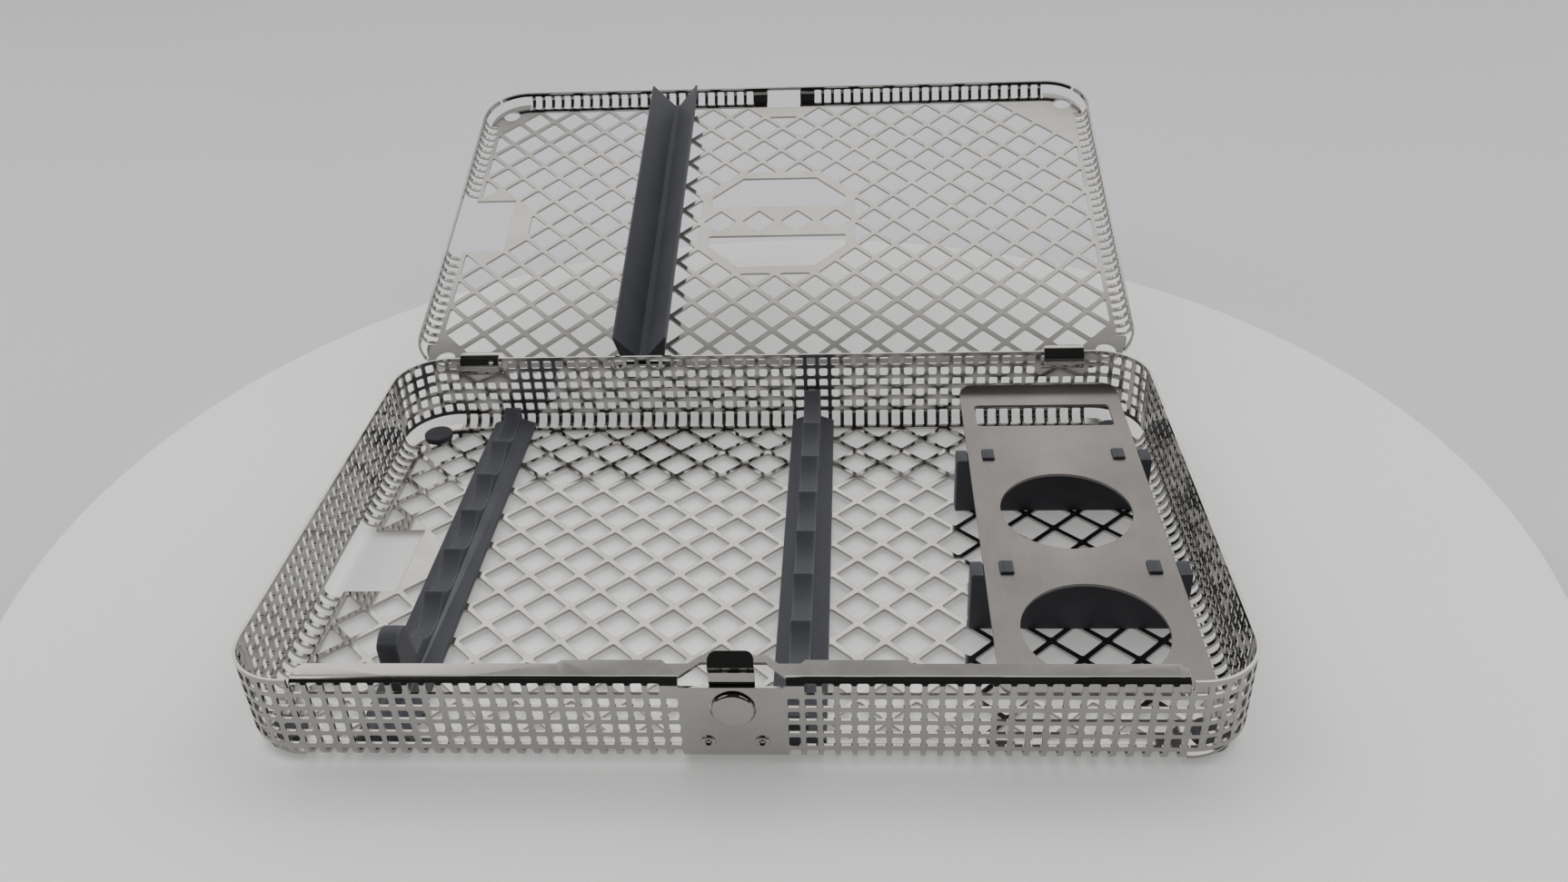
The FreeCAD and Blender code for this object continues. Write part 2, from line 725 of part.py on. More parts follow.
def floor_plate():
    places, _ = lattice_places()
    openings = [cell(i, j, half) for i, j, half in places]
    return punched(plate_outline(), openings + foot_holes()).extrude(V(0, 0, SHEET))


def lid_plate():
    places, corner_sum = lattice_places()
    openings = lid_windows()
    for i, j, half in places:
        keep = lid_half(i, j, half, corner_sum)
        if keep != "none":
            openings.append(cell(i, j, keep))
    notch = (LATCH_WINDOW_WIDTH / 2, HALF_D - LATCH_WINDOW_REACH)
    return punched(plate_outline(notch), openings + foot_holes()).extrude(V(0, 0, SHEET))


def base_tray():
    strips = placed_round(
        long_strip(WALL_START, in_plain_panel),
        long_strip(WALL_START, no_column),
        side_strip(WALL_START, [label_cut()]),
        side_strip(WALL_START),
    )
    right = right_wall()
    walls = [front_wall().fuse(front_flange()).cut(latch_cutout()), back_wall(), right, mirror_x(right)]
    return weld([floor_plate()] + strips + walls + base_corners())


def lid_tray():
    """The lid as a shallow tray lying on its back, its front edge towards +y."""
    strips = placed_round(
        long_strip(LID_HEIGHT, at_hook),
        long_strip(LID_HEIGHT, in_plain_panel, [latch_window()]),
        side_strip(LID_HEIGHT, [label_cut()]),
        side_strip(LID_HEIGHT),
    )
    return weld([lid_plate()] + strips + lid_corners())


def ring_point(radius, degrees):
    """Point at a radius and angle round the hinge line, the angle measured from +y towards +z."""
    angle = math.radians(degrees)
    return sideways(HINGE_Y + radius * math.cos(angle), HINGE_Z + radius * math.sin(angle))


def closed_hook(centre):
    """Hinge hook as it lies with the lid shut: a foot on the lid's rim and a ring through the base's slot."""
    start = 90.0
    end = -HOOK_END_ANGLE
    middle = (start + end) / 2
    ring = Part.Wire([
        Part.Arc(ring_point(HOOK_INNER_RADIUS, start), ring_point(HOOK_INNER_RADIUS, middle),
                 ring_point(HOOK_INNER_RADIUS, end)).toShape(),
        Part.LineSegment(ring_point(HOOK_INNER_RADIUS, end), ring_point(HOOK_OUTER_RADIUS, end)).toShape(),
        Part.Arc(ring_point(HOOK_OUTER_RADIUS, end), ring_point(HOOK_OUTER_RADIUS, middle),
                 ring_point(HOOK_OUTER_RADIUS, start)).toShape(),
        Part.LineSegment(ring_point(HOOK_OUTER_RADIUS, start),
                         ring_point(HOOK_INNER_RADIUS, start)).toShape(),
    ])
    band = moved(Part.Face(ring).extrude(V(HOOK_WIDTH, 0, 0)), x=centre - HOOK_WIDTH / 2)
    tip = ring_point((HOOK_INNER_RADIUS + HOOK_OUTER_RADIUS) / 2, end)
    ends = [edge for edge in band.Edges
            if abs(edge.CenterOfMass.y - tip.y) < SHEET / 4 and abs(edge.CenterOfMass.z - tip.z) < SHEET / 4
            and abs(edge.CenterOfMass.x - centre) > HOOK_WIDTH / 4]
    band = band.makeFillet(HOOK_CORNER_RADIUS, ends)
    foot_low = CLOSED_RIM_Z + HOOK_FOOT_LOW
    foot = box(centre - HOOK_WIDTH / 2, centre + HOOK_WIDTH / 2, HALF_D, HALF_D + HOOK_SHEET,
               foot_low, foot_low + HOOK_FOOT_HEIGHT)
    return join([band, foot])


def hook_hole(centre):
    """Round hole through the left hook's ring."""
    across = V(0, math.cos(math.radians(-HOOK_HOLE_ANGLE)), math.sin(math.radians(-HOOK_HOLE_ANGLE)))
    start = V(centre + HOOK_HOLE_OFFSET, HINGE_Y, HINGE_Z)
    return Part.makeCylinder(HOOK_HOLE_DIAMETER / 2, 2 * HOOK_OUTER_RADIUS, start, across)


def leaf_section():
    """Side view of the latch leaf: straight behind the wall, a nose over the lid's rim, a sloping lip."""
    bottom = LATCH_PIVOT_HEIGHT - LATCH_FOOT_HEIGHT / 2
    nose_start = CLOSED_RIM_Z + LATCH_WINDOW_RIM + LATCH_NOSE_GAP
    nose_y = LEAF_Y - LATCH_NOSE_REACH
    nose_z = nose_start + LATCH_NOSE_RISE
    front = [
        (LEAF_Y, bottom),
        (LEAF_Y, nose_start),
        (nose_y, nose_z),
        (nose_y + LATCH_LIP_BACK, nose_z + LATCH_LIP_RISE),
    ]
    return sheet_section(front, LATCH_SHEET)


def latch_leaf():
    section = leaf_section()
    face = Part.Face(loop(section, sideways))
    stem = moved(face.extrude(V(LATCH_WIDTH, 0, 0)), x=-LATCH_WIDTH / 2)
    lip_z = (section[3][1] + section[4][1]) / 2
    tips = [edge for edge in stem.Edges
            if abs(edge.CenterOfMass.z - lip_z) < LATCH_SHEET / 4
            and abs(edge.CenterOfMass.x) > LATCH_WIDTH / 4]
    stem = stem.makeFillet(LATCH_CORNER_RADIUS, tips)
    bottom = LATCH_PIVOT_HEIGHT - LATCH_FOOT_HEIGHT / 2
    half = LATCH_FOOT_WIDTH / 2
    outline = rounded_rectangle(-half, half, bottom, bottom + LATCH_FOOT_HEIGHT, LATCH_FOOT_CORNER, upright)
    foot = moved(Part.Face(outline).extrude(V(0, LATCH_SHEET, 0)), y=LEAF_Y)
    leaf = join([stem, foot])
    radius = RIVET_SHANK_DIAMETER / 2 + RIVET_LEAF_GAP
    for side in (-1, 1):
        start = V(side * RIVET_SPACING / 2, LEAF_Y - SHEET, LATCH_PIVOT_HEIGHT)
        leaf = leaf.cut(Part.makeCylinder(radius, 3 * SHEET, start, V(0, 1, 0)))
    return leaf


def latch_button():
    """Round push button on the leaf, standing out through the front wall."""
    radius = BUTTON_DIAMETER / 2
    front = -HALF_D - BUTTON_PROUD
    button = Part.makeCylinder(radius, LEAF_Y - front, V(0, front, BUTTON_HEIGHT), V(0, 1, 0))
    rim = [edge for edge in button.Edges
           if abs(edge.CenterOfMass.y - front) < SHEET / 10 and len(edge.Vertexes) == 1]
    return button.makeFillet(BUTTON_EDGE_RADIUS, rim)


def latch_rivet(x):
    """Rivet with a dimpled outer head, its shank through wall and leaf, and a flat inner head."""
    outward = V(0, 1, 0)
    wall_y = -HALF_D
    inner_y = LEAF_Y + LATCH_SHEET + LATCH_GAP
    head = Part.makeCylinder(RIVET_HEAD_DIAMETER / 2, RIVET_HEAD_HEIGHT,
                             V(x, wall_y - RIVET_HEAD_HEIGHT, LATCH_PIVOT_HEIGHT), outward)
    rim = [edge for edge in head.Edges
           if abs(edge.CenterOfMass.y - (wall_y - RIVET_HEAD_HEIGHT)) < SHEET / 10
           and len(edge.Vertexes) == 1]
    head = head.makeFillet(RIVET_HEAD_HEIGHT / 2, rim)
    dimple = Part.makeCylinder(RIVET_DIMPLE_DIAMETER / 2, RIVET_DIMPLE_DEPTH,
                               V(x, wall_y - RIVET_HEAD_HEIGHT, LATCH_PIVOT_HEIGHT), outward)
    shank = Part.makeCylinder(RIVET_SHANK_DIAMETER / 2, inner_y - wall_y,
                              V(x, wall_y, LATCH_PIVOT_HEIGHT), outward)
    inner = Part.makeCylinder(RIVET_HEAD_DIAMETER / 2, RIVET_HEAD_HEIGHT,
                              V(x, inner_y, LATCH_PIVOT_HEIGHT), outward)
    return join([head.cut(dimple), shank, inner])


def latch_rivets():
    return Part.makeCompound([latch_rivet(side * RIVET_SPACING / 2) for side in (-1, 1)])


def foot():
    """Silicone plug through a corner hole: round head inside, neck, and the pad that the tray stands on."""
    neck = FOOT_HOLE_DIAMETER / 2 - FOOT_FIT
    radius = FOOT_HEAD_DIAMETER / 2
    pad = Part.makeCylinder(radius, FOOT_BELOW, V(0, 0, -FOOT_BELOW))
    head = Part.makeCylinder(radius, FOOT_HEAD_HEIGHT, V(0, 0, SHEET))
    top = SHEET + FOOT_HEAD_HEIGHT
    rim = [edge for edge in head.Edges
           if abs(edge.CenterOfMass.z - top) < SHEET / 10 and len(edge.Vertexes) == 1]
    head = head.makeFillet(FOOT_EDGE_RADIUS, rim)
    return join([pad, Part.makeCylinder(neck, SHEET, V(0, 0, 0)), head])


def scalloped_ridge(height, count, stopped):
    """Ridge along y with its back end on y = 0: round scallops, then the end stop or a scallop cut short."""
    pitch = SCALLOP_PITCH
    radius = ((pitch / 2) ** 2 + SCALLOP_DEPTH ** 2) / (2 * SCALLOP_DEPTH)
    half_angle = math.asin(pitch / 2 / radius)
    top = SHEET + height
    cusp = -BAR_CUSP_INSET
    edges = [
        Part.LineSegment(sideways(0, SHEET), sideways(0, top)).toShape(),
        Part.LineSegment(sideways(0, top), sideways(cusp, top)).toShape(),
    ]

    def on_arc(centre_y, angle):
        centre_z = top - SCALLOP_DEPTH + radius
        return sideways(centre_y + radius * math.sin(angle), centre_z - radius * math.cos(angle))

    def scallop(last):
        centre = cusp - pitch / 2
        middle = (half_angle + last) / 2
        return Part.Arc(on_arc(centre, half_angle), on_arc(centre, middle), on_arc(centre, last)).toShape()

    for _ in range(count):
        edges.append(scallop(-half_angle))
        cusp -= pitch
    if stopped:
        edges += end_stop(cusp, top)
    else:
        last = math.asin((pitch / 2 - BAR_LENGTH - cusp) / radius)
        edges.append(scallop(last))
        end = on_arc(cusp - pitch / 2, last)
        edges.append(Part.LineSegment(end, sideways(-BAR_LENGTH, SHEET)).toShape())
    bottom = edges[-1].Vertexes[-1].Point
    edges.append(Part.LineSegment(bottom, sideways(0, SHEET)).toShape())
    ridge = Part.Face(Part.Wire(edges)).extrude(V(BAR_RIDGE_WIDTH, 0, 0))
    return moved(ridge, x=-BAR_RIDGE_WIDTH / 2)


def end_stop(start, top):
    """Edges of the raised stop in front of the last cusp, from that cusp forward and down to the floor."""
    foot = start - STOP_FLAT
    crest = foot - STOP_RUN
    shoulder = crest - STOP_TOP_LENGTH
    front = crest - STOP_LENGTH
    high = top + STOP_HEIGHT
    lean = math.sqrt(0.5)
    round_mid = sideways(shoulder + (front - shoulder) * lean, high - STOP_SHOULDER * (1 - lean))
    return [
        Part.LineSegment(sideways(start, top), sideways(foot, top)).toShape(),
        Part.LineSegment(sideways(foot, top), sideways(crest, high)).toShape(),
        Part.Arc(sideways(crest, high), sideways((crest + shoulder) / 2, high + STOP_CROWN),
                 sideways(shoulder, high)).toShape(),
        Part.Arc(sideways(shoulder, high), round_mid, sideways(front, high - STOP_SHOULDER)).toShape(),
        Part.LineSegment(sideways(front, high - STOP_SHOULDER), sideways(front, SHEET)).toShape(),
    ]


def bar_base():
    """Broad sloping foot of a rest bar, its back end on y = 0."""
    low = SHEET + BAR_BASE_HEIGHT
    high = low + BAR_SLOPE_HEIGHT
    half = BAR_BASE_WIDTH / 2
    ridge = BAR_RIDGE_WIDTH / 2
    outline = [(-half, SHEET), (half, SHEET), (half, low), (ridge, high), (-ridge, high), (-half, low)]
    return Part.Face(loop(outline, upright)).extrude(V(0, -BAR_LENGTH, 0))


def rest_bar(x, height, count, stopped=False):
    bar = join([bar_base(), scalloped_ridge(height, count, stopped)])
    return moved(bar, x=x, y=BAR_LENGTH / 2)


def lid_bar():
    """V-shaped silicone bar on the lid's plate, drawn with the lid on its back."""
    base = LID_BAR_BASE_WIDTH / 2
    top = LID_BAR_TOP_WIDTH / 2
    height = SHEET + LID_BAR_HEIGHT
    valley = SHEET + LID_BAR_VALLEY_HEIGHT
    flat_half = LID_BAR_VALLEY_WIDTH / 2
    outline = [
        (-base, SHEET),
        (base, SHEET),
        (top, height),
        (top - LID_BAR_LIP, height),
        (flat_half, valley),
        (-flat_half, valley),
        (LID_BAR_LIP - top, height),
        (-top, height),
    ]
    back = LID_BAR_BACK_INSET - HALF_D
    front = HALF_D - FLANGE_WIDE_REACH - LID_BAR_END_GAP
    bar = Part.Face(loop(outline, upright)).extrude(V(0, front - back, 0))
    bar = moved(bar, x=LID_BAR_X, y=back)
    undercut = [(back, SHEET), (back + LID_BAR_END_UNDERCUT, SHEET), (back, valley)]
    wedge = Part.Face(loop(undercut, sideways)).extrude(V(2 * TRAY_WIDTH, 0, 0))
    return bar.cut(moved(wedge, x=-TRAY_WIDTH))


def holder_plate():
    """Perforated plate on the cross bars, its back end curled up."""
    half = PLATE_WIDTH / 2
    flat_end = PLATE_FRONT + PLATE_FLAT_LENGTH
    radius = PLATE_CORNER_RADIUS
    lean = radius * (1 - math.sqrt(0.5))
    outline = Part.Wire([
        Part.LineSegment(flat(-half, flat_end), flat(-half, PLATE_FRONT + radius)).toShape(),
        Part.Arc(flat(-half, PLATE_FRONT + radius), flat(-half + lean, PLATE_FRONT + lean),
                 flat(-half + radius, PLATE_FRONT)).toShape(),
        Part.LineSegment(flat(-half + radius, PLATE_FRONT), flat(half - radius, PLATE_FRONT)).toShape(),
        Part.Arc(flat(half - radius, PLATE_FRONT), flat(half - lean, PLATE_FRONT + lean),
                 flat(half, PLATE_FRONT + radius)).toShape(),
        Part.LineSegment(flat(half, PLATE_FRONT + radius), flat(half, flat_end)).toShape(),
        Part.LineSegment(flat(half, flat_end), flat(-half, flat_end)).toShape(),
    ])
    openings = [Part.Wire(Part.makeCircle(WELL_DIAMETER / 2, flat(0, y)))
                for y in (WELL_FRONT_Y, WELL_BACK_Y)]
    openings.append(rounded_rectangle(-PLATE_WINDOW_WIDTH / 2, PLATE_WINDOW_WIDTH / 2,
                                      PLATE_WINDOW_Y - PLATE_WINDOW_LENGTH / 2,
                                      PLATE_WINDOW_Y + PLATE_WINDOW_LENGTH / 2, PLATE_WINDOW_RADIUS, flat))
    reach_x = PEG_WIDTH / 2 + PEG_GAP
    reach_y = PEG_LENGTH / 2 + PEG_GAP
    for y in (CROSS_FRONT_Y, CROSS_BACK_Y):
        for side in (-1, 1):
            x = side * PEG_SPACING / 2
            openings.append(loop(rectangle(x - reach_x, x + reach_x, y - reach_y, y + reach_y), flat))
    sheet = punched(outline, openings).extrude(V(0, 0, PLATE_SHEET))
    sheet = moved(sheet, z=PLATE_TOP - PLATE_SHEET)
    plate = join([sheet, plate_curl(flat_end)])
    return moved(plate, x=PLATE_X)


def plate_curl(start_y):
    """Curled-up back end of the holder plate with rounded corners."""
    inner = PLATE_CURL_RADIUS - PLATE_SHEET
    end = math.radians(PLATE_CURL_ANGLE)

    def point(radius, angle):
        return sideways(start_y + radius * math.sin(angle), PLATE_TOP + inner - radius * math.cos(angle))

    section = Part.Wire([
        Part.Arc(point(PLATE_CURL_RADIUS, 0), point(PLATE_CURL_RADIUS, end / 2),
                 point(PLATE_CURL_RADIUS, end)).toShape(),
        Part.LineSegment(point(PLATE_CURL_RADIUS, end), point(inner, end)).toShape(),
        Part.Arc(point(inner, end), point(inner, end / 2), point(inner, 0)).toShape(),
        Part.LineSegment(point(inner, 0), point(PLATE_CURL_RADIUS, 0)).toShape(),
    ])
    curl = moved(Part.Face(section).extrude(V(PLATE_WIDTH, 0, 0)), x=-PLATE_WIDTH / 2)
    tip = point(PLATE_CURL_RADIUS - PLATE_SHEET / 2, end)
    corners = [edge for edge in curl.Edges
               if abs(edge.CenterOfMass.y - tip.y) < PLATE_SHEET / 4
               and abs(edge.CenterOfMass.x) > PLATE_WIDTH / 4
               and abs(edge.CenterOfMass.z - tip.z) < PLATE_SHEET / 4]
    return curl.makeFillet(PLATE_CORNER_RADIUS, corners)


def cross_bar(y):
    """Silicone bar across under the holder plate: a post at each end, two pegs up through the plate."""
    half = CROSS_LENGTH / 2
    under = PLATE_TOP - PLATE_SHEET
    post_inner = PLATE_WIDTH / 2 + CROSS_POST_GAP
    thick = CROSS_THICKNESS / 2
    body = box(-half, half, -thick, thick, SHEET, under)
    pieces = [body]
    for side in (-1, 1):
        x0, x1 = sorted((side * post_inner, side * half))
        post = box(x0, x1, -thick, thick, under, PLATE_TOP)
        edges = [edge for edge in post.Edges
                 if abs(edge.CenterOfMass.z - PLATE_TOP) < SHEET / 10
                 and abs(abs(edge.CenterOfMass.x) - half) < SHEET / 10]
        pieces.append(post.makeFillet(CROSS_POST_ROUNDING, edges))
        x = side * PEG_SPACING / 2
        pieces.append(box(x - PEG_WIDTH / 2, x + PEG_WIDTH / 2, -PEG_LENGTH / 2, PEG_LENGTH / 2,
                          under, PLATE_TOP + PEG_PROUD))
    return moved(join(pieces), x=PLATE_X, y=y)


def opened(shape):
    """Carries a shape from the lid lying on its back to the open lid at the hinge."""
    copy = moved(shape, y=HINGE_Y + HINGE_Y, z=HINGE_Z - LID_BACK_HEIGHT)
    copy.rotate(V(0, HINGE_Y, HINGE_Z), V(1, 0, 0), math.degrees(OPEN_TILT))
    return copy


def opened_from_closed(shape):
    """Carries a shape from where it lies with the lid shut to where it lies with the lid open."""
    return turned(shape, V(1, 0, 0), -LID_OPENING, V(0, HINGE_Y, HINGE_Z))


def all_nodes():
    left, right = hook_centres()
    left_hook = closed_hook(left).cut(hook_hole(left))
    nodes = {
        "base_tray": base_tray(),
        "lid_tray": opened(lid_tray()),
        "lid_bar": opened(lid_bar()),
        "hinge_hook_left": opened_from_closed(left_hook),
        "hinge_hook_right": opened_from_closed(closed_hook(right)),
        "latch_leaf": latch_leaf(),
        "latch_button": latch_button(),
        "latch_rivets": latch_rivets(),
        "rest_bar_left": rest_bar(LEFT_BAR_X, LEFT_BAR_HEIGHT, LEFT_SCALLOPS, stopped=True),
        "rest_bar_centre": rest_bar(CENTRE_BAR_X, CENTRE_BAR_HEIGHT, CENTRE_SCALLOPS),
        "holder_plate": holder_plate(),
        "holder_bar_front": cross_bar(CROSS_FRONT_Y),
        "holder_bar_back": cross_bar(CROSS_BACK_Y),
    }
    for end, y in (("front", -1), ("back", 1)):
        for side, x in (("left", -1), ("right", 1)):
            plug = moved(foot(), x=x * (HALF_W - FOOT_INSET), y=y * (HALF_D - FOOT_INSET))
            nodes[f"foot_{end}_{side}"] = plug
    return nodes


def origin_shift():
    """Moves the origin to the middle of the open basket's box, on the surface that it stands on."""
    front = -HALF_D - BUTTON_PROUD
    bend_y = TRAY_DEPTH + HINGE_SETBACK - FLOOR_BEND_RADIUS
    bend_z = FLOOR_BEND_RADIUS - LID_BACK_HEIGHT
    reach = bend_y * math.cos(OPEN_TILT) - bend_z * math.sin(OPEN_TILT) + FLOOR_BEND_RADIUS
    back = HINGE_Y + reach
    return V(0, -(front + back) / 2, FOOT_BELOW)


def main():
    os.makedirs("parts", exist_ok=True)
    shift = origin_shift()
    for name, shape in all_nodes().items():
        shape.translate(shift)
        shape.exportStep(f"parts/{name}.step")


main()
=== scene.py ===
"""Instrument wash basket on a round white turntable: fine sheets, finishes, light and camera."""
import json
import math

import bmesh
import bpy
from mathutils import Matrix, Vector
from mathutils.geometry import delaunay_2d_cdt

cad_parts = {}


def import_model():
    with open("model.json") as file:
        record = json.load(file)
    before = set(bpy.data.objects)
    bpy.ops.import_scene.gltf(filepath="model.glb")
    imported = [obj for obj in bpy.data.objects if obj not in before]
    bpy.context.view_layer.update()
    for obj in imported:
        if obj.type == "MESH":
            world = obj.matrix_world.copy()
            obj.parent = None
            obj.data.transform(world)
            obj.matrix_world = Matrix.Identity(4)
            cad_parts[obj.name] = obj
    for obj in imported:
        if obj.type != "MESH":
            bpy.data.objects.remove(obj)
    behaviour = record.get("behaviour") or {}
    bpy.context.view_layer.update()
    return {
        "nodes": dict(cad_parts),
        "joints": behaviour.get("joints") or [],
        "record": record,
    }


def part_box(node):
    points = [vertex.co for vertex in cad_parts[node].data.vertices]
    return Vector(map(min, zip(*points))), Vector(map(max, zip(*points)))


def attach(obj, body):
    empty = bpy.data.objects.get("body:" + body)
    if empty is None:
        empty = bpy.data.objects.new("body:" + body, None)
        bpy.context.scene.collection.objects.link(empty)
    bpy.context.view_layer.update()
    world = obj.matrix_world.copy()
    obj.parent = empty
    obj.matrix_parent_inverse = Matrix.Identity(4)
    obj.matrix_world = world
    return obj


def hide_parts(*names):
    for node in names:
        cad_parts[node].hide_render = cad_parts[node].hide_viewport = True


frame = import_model()
MM = 0.001

# Camera, fitted to the photograph: metres from the base tray's middle, front face and underside
IMAGE_WIDTH = 1726
FOCAL_PIXELS = 1436.8
CAMERA_RIGHT_OF_MIDDLE = 0.0339
CAMERA_IN_FRONT = 0.2553
CAMERA_ABOVE = 0.2621
CAMERA_LOOK = Vector((-0.0571, 0.8476, -0.5276))
CAMERA_RIGHT = Vector((0.9983, 0.0439, -0.0376))

# Stage, in metres
TURNTABLE_RADIUS = 0.253
TURNTABLE_RIGHT_OF_MIDDLE = 0.003
TURNTABLE_BEHIND_MIDDLE = 0.018
TURNTABLE_THICKNESS = 0.012
TURNTABLE_RIM = 0.002
FLOOR_RADIUS = 4.0
TABLE_PAINT = ((0.79, 0.79, 0.79, 1), (0.81, 0.81, 0.81, 1))
FLOOR_PAINT = ((0.67, 0.668, 0.682, 1), (0.69, 0.688, 0.7, 1))

# Tones of the wall and floor, and of the turntable. On the floor and the turntable they make up this share
# of what the eye and mirrors see, and lamps and shadows make the rest.
WALL_TONE = (0.49, 0.488, 0.5, 1)
TABLE_TONE = (0.53, 0.527, 0.522, 1)
EVEN_SHARE = 0.46

# Brightness of the room that the steel mirrors, against the sine of the height above the horizon
BACKDROP_BANDS = [
    (0.0, 0.55),
    (0.3, 0.66),
    (0.45, 1.0),
    (0.708, 1.0),
    (0.728, 0.42),
    (0.772, 0.42),
    (0.795, 0.95),
    (0.95, 0.95),
]

# That room is lit towards this direction, and away from it falls to its least between these two cosines
ROOM_TOWARD = (0.0, 0.883, -0.469)
ROOM_LIT_FROM = 0.04
ROOM_DARK_FROM = -0.06
ROOM_LEAST = 0.02

# Lamps: name, metres from the basket's middle, size, watts, and whether the steel mirrors it
LAMPS = [
    ("left_soft", (-1.4, 0.1, 1.3), (1.2, 1.6), 6.0, True),
    ("right_soft", (1.5, 0.2, 1.2), (1.2, 1.6), 5.5, True),
    ("ceiling_soft", (0.0, 0.0, 1.6), (2.6, 2.6), 15.0, False),
]

# Colours of the finishes, from their darker to their lighter places
STEEL_TONES = ((0.47, 0.456, 0.436, 1), (0.545, 0.53, 0.51, 1))
PLATE_TONES = ((0.3, 0.283, 0.272, 1), (0.385, 0.366, 0.353, 1))
SILICONE_TONES = ((0.05, 0.053, 0.065, 1), (0.072, 0.076, 0.09, 1))

# Painted highlights along the silicone's edges: colour, width in millimetres, and the cosines of the edge's
# turn at which they start and are full
EDGE_HIGHLIGHT_TONE = (0.2, 0.206, 0.222, 1)
EDGE_HIGHLIGHT_WIDTH = 0.7
EDGE_HIGHLIGHT_START = 0.99
EDGE_HIGHLIGHT_FULL = 0.88

# Numbers of a colour Mix node's sockets
MIX_FACTOR = 0
MIX_FIRST = 6
MIX_SECOND = 7
MIX_RESULT = 2

# Silicone pieces whose edges are rounded here, by how many millimetres, and from which angle in degrees.
# Before that, points this near are joined and faces this flat are merged.
SOFT_PIECES = ("lid_bar", "rest_bar_left", "rest_bar_centre", "holder_bar_front", "holder_bar_back")
SOFT_EDGE = 0.35
SOFT_SEGMENTS = 3
SOFT_ANGLE = 28
WELD_DISTANCE = 0.002
FLAT_ANGLE = 1

# Sheets: angles in degrees that shade sharp and that count as straight, the weight of large faces in the
# shading, how a pattern is triangulated and cut, and how much of a side one rounding may take
SHARP_ANGLE = 35
STRAIGHT_ANGLE = 175
FLAT_WEIGHT = 90
CDT_INSIDE = 1
CDT_TOLERANCE = 1e-5
CUT_TOLERANCE = 1e-4
MOST_OF_SIDE = 0.49

# Facets across the floor bend, the flange bend and the round corners, and round the small holes
BEND_STEPS = 8
FLANGE_STEPS = 6
CORNER_STEPS = 18
PLATE_ARC_STEPS = 14
RIVET_HOLE_STEPS = 16
FOOT_HOLE_STEPS = 32

# Trays, in millimetres, drawn as in the CAD model: x and y from the tray's middle, z from its underside
TRAY_HALF_WIDTH = 140.0
TRAY_HALF_DEPTH = 90.7
SHEET = 0.9
CORNER_RADIUS = 18.4
BEND_RADIUS = 4.6
BASE_HEIGHT = 29.2
LID_HEIGHT = 6.2
HOLE_PITCH = 4.6
HOLE_SIZE = 3.2
HOLE_ROUNDING = 0.65
CUTOUT_ROUNDING = 0.8
HOOK_SLOT_ROUNDING = 0.8
LID_WINDOW_ROUNDING = 0.8
LID_TAB_ROUNDING = 0.2
EDGE_ROUNDING = 0.3
TOP_ROW_EXTRA = 0.4
LOW_ROW_HEIGHT = 7.8
ROWS = 5
LONG_COLUMNS = 26
SIDE_COLUMNS = 15
CORNER_COLUMNS = 6
SLOT_TOP = 4.7
SLOT_FOOT = 5.7
PLATE_INSET = 6.3
EDGE_STRIP = 0.8
SEAM_GAP = 1.5
WELD_TAB = 2.0
CORNER_TAB_GAP = 1.0
CORNER_PLATE_GAP = 1.3
LID_CORNER_GAP = 1.4
FOOT_INSET = 10.8
FOOT_HOLE_RADIUS = 3.85
LATTICE_PITCH = 16.6
LATTICE_RIB = 1.75
LATTICE_COLUMNS = 16
LATTICE_ROWS = 10
LATTICE_ROUNDING = 0.8
LATTICE_CORNER_CELLS = 2
LID_PLAIN_CORNER_CELLS = 4
LID_WINDOW_CELLS = 4
LID_WINDOW_SLOPE_CELLS = 7
LABEL_HALF = 17.0
LABEL_REACH = 23.2
LID_WINDOW_BAND = 4.1
LID_MIDDLE_BAND = 2.4
FLANGE_BEND_RADIUS = 2.5
FLANGE_SPRING_BACK = 3.0
FLANGE_REACH = 6.8
FLANGE_WIDE_REACH = 8.2
FLANGE_WIDE_INNER = 18.6
FLANGE_WIDE_OUTER = 46.9
FLANGE_HALF = 118.9
FLANGE_CHAMFER = 2.0
CUTOUT_HALF = 14.3
CUTOUT_DEPTH = 7.2
CUTOUT_SLOPE_START = 1.8
CUTOUT_STRIP = 2.8
CUTOUT_DROP = 2.2
PLAIN_HALF = 13.8
BUTTON_HOLE_RADIUS = 6.2
BUTTON_HEIGHT = 19.6
RIVET_X = 7.3
RIVET_HOLE_RADIUS = 1.15
RIVET_SHANK_RADIUS = 1.1
RIVET_HEAD_HEIGHT = 0.6
RIVET_INNER_FACE = 0.9
RIVET_INNER_CHAMFER = 0.3
HOOK_X = 110.6
HOOK_SLOT_HALF = 8.1
HOOK_SLOT_LOW = 22.1
HOOK_SLOT_HIGH = 27.6
LATCH_WINDOW_HALF = 7.8
LATCH_WINDOW_REACH = 8.6
LATCH_WINDOW_RIM = 1.3
LID_BACK_HEIGHT = 9.0
HINGE_SETBACK = 0.1

ARC_X = TRAY_HALF_WIDTH - CORNER_RADIUS
ARC_Y = TRAY_HALF_DEPTH - CORNER_RADIUS
LONG_HALF = LONG_COLUMNS * HOLE_PITCH
SIDE_HALF = SIDE_COLUMNS * HOLE_PITCH + HOLE_SIZE / 2 + EDGE_STRIP
RIB_HALF = (HOLE_PITCH - HOLE_SIZE) / 2
HALF_CELL = LATTICE_PITCH / 2
CELL_REACH = HALF_CELL - LATTICE_RIB / math.sqrt(2)
BEND_START = PLATE_INSET - BEND_RADIUS
BEND_END = BEND_START + BEND_RADIUS * math.pi / 2
CORNER_STRAIGHT = ARC_X - LONG_HALF
CORNER_ARC = CORNER_RADIUS * math.pi / 2
CORNERS = ((1, 1), (1, -1), (-1, 1), (-1, -1))

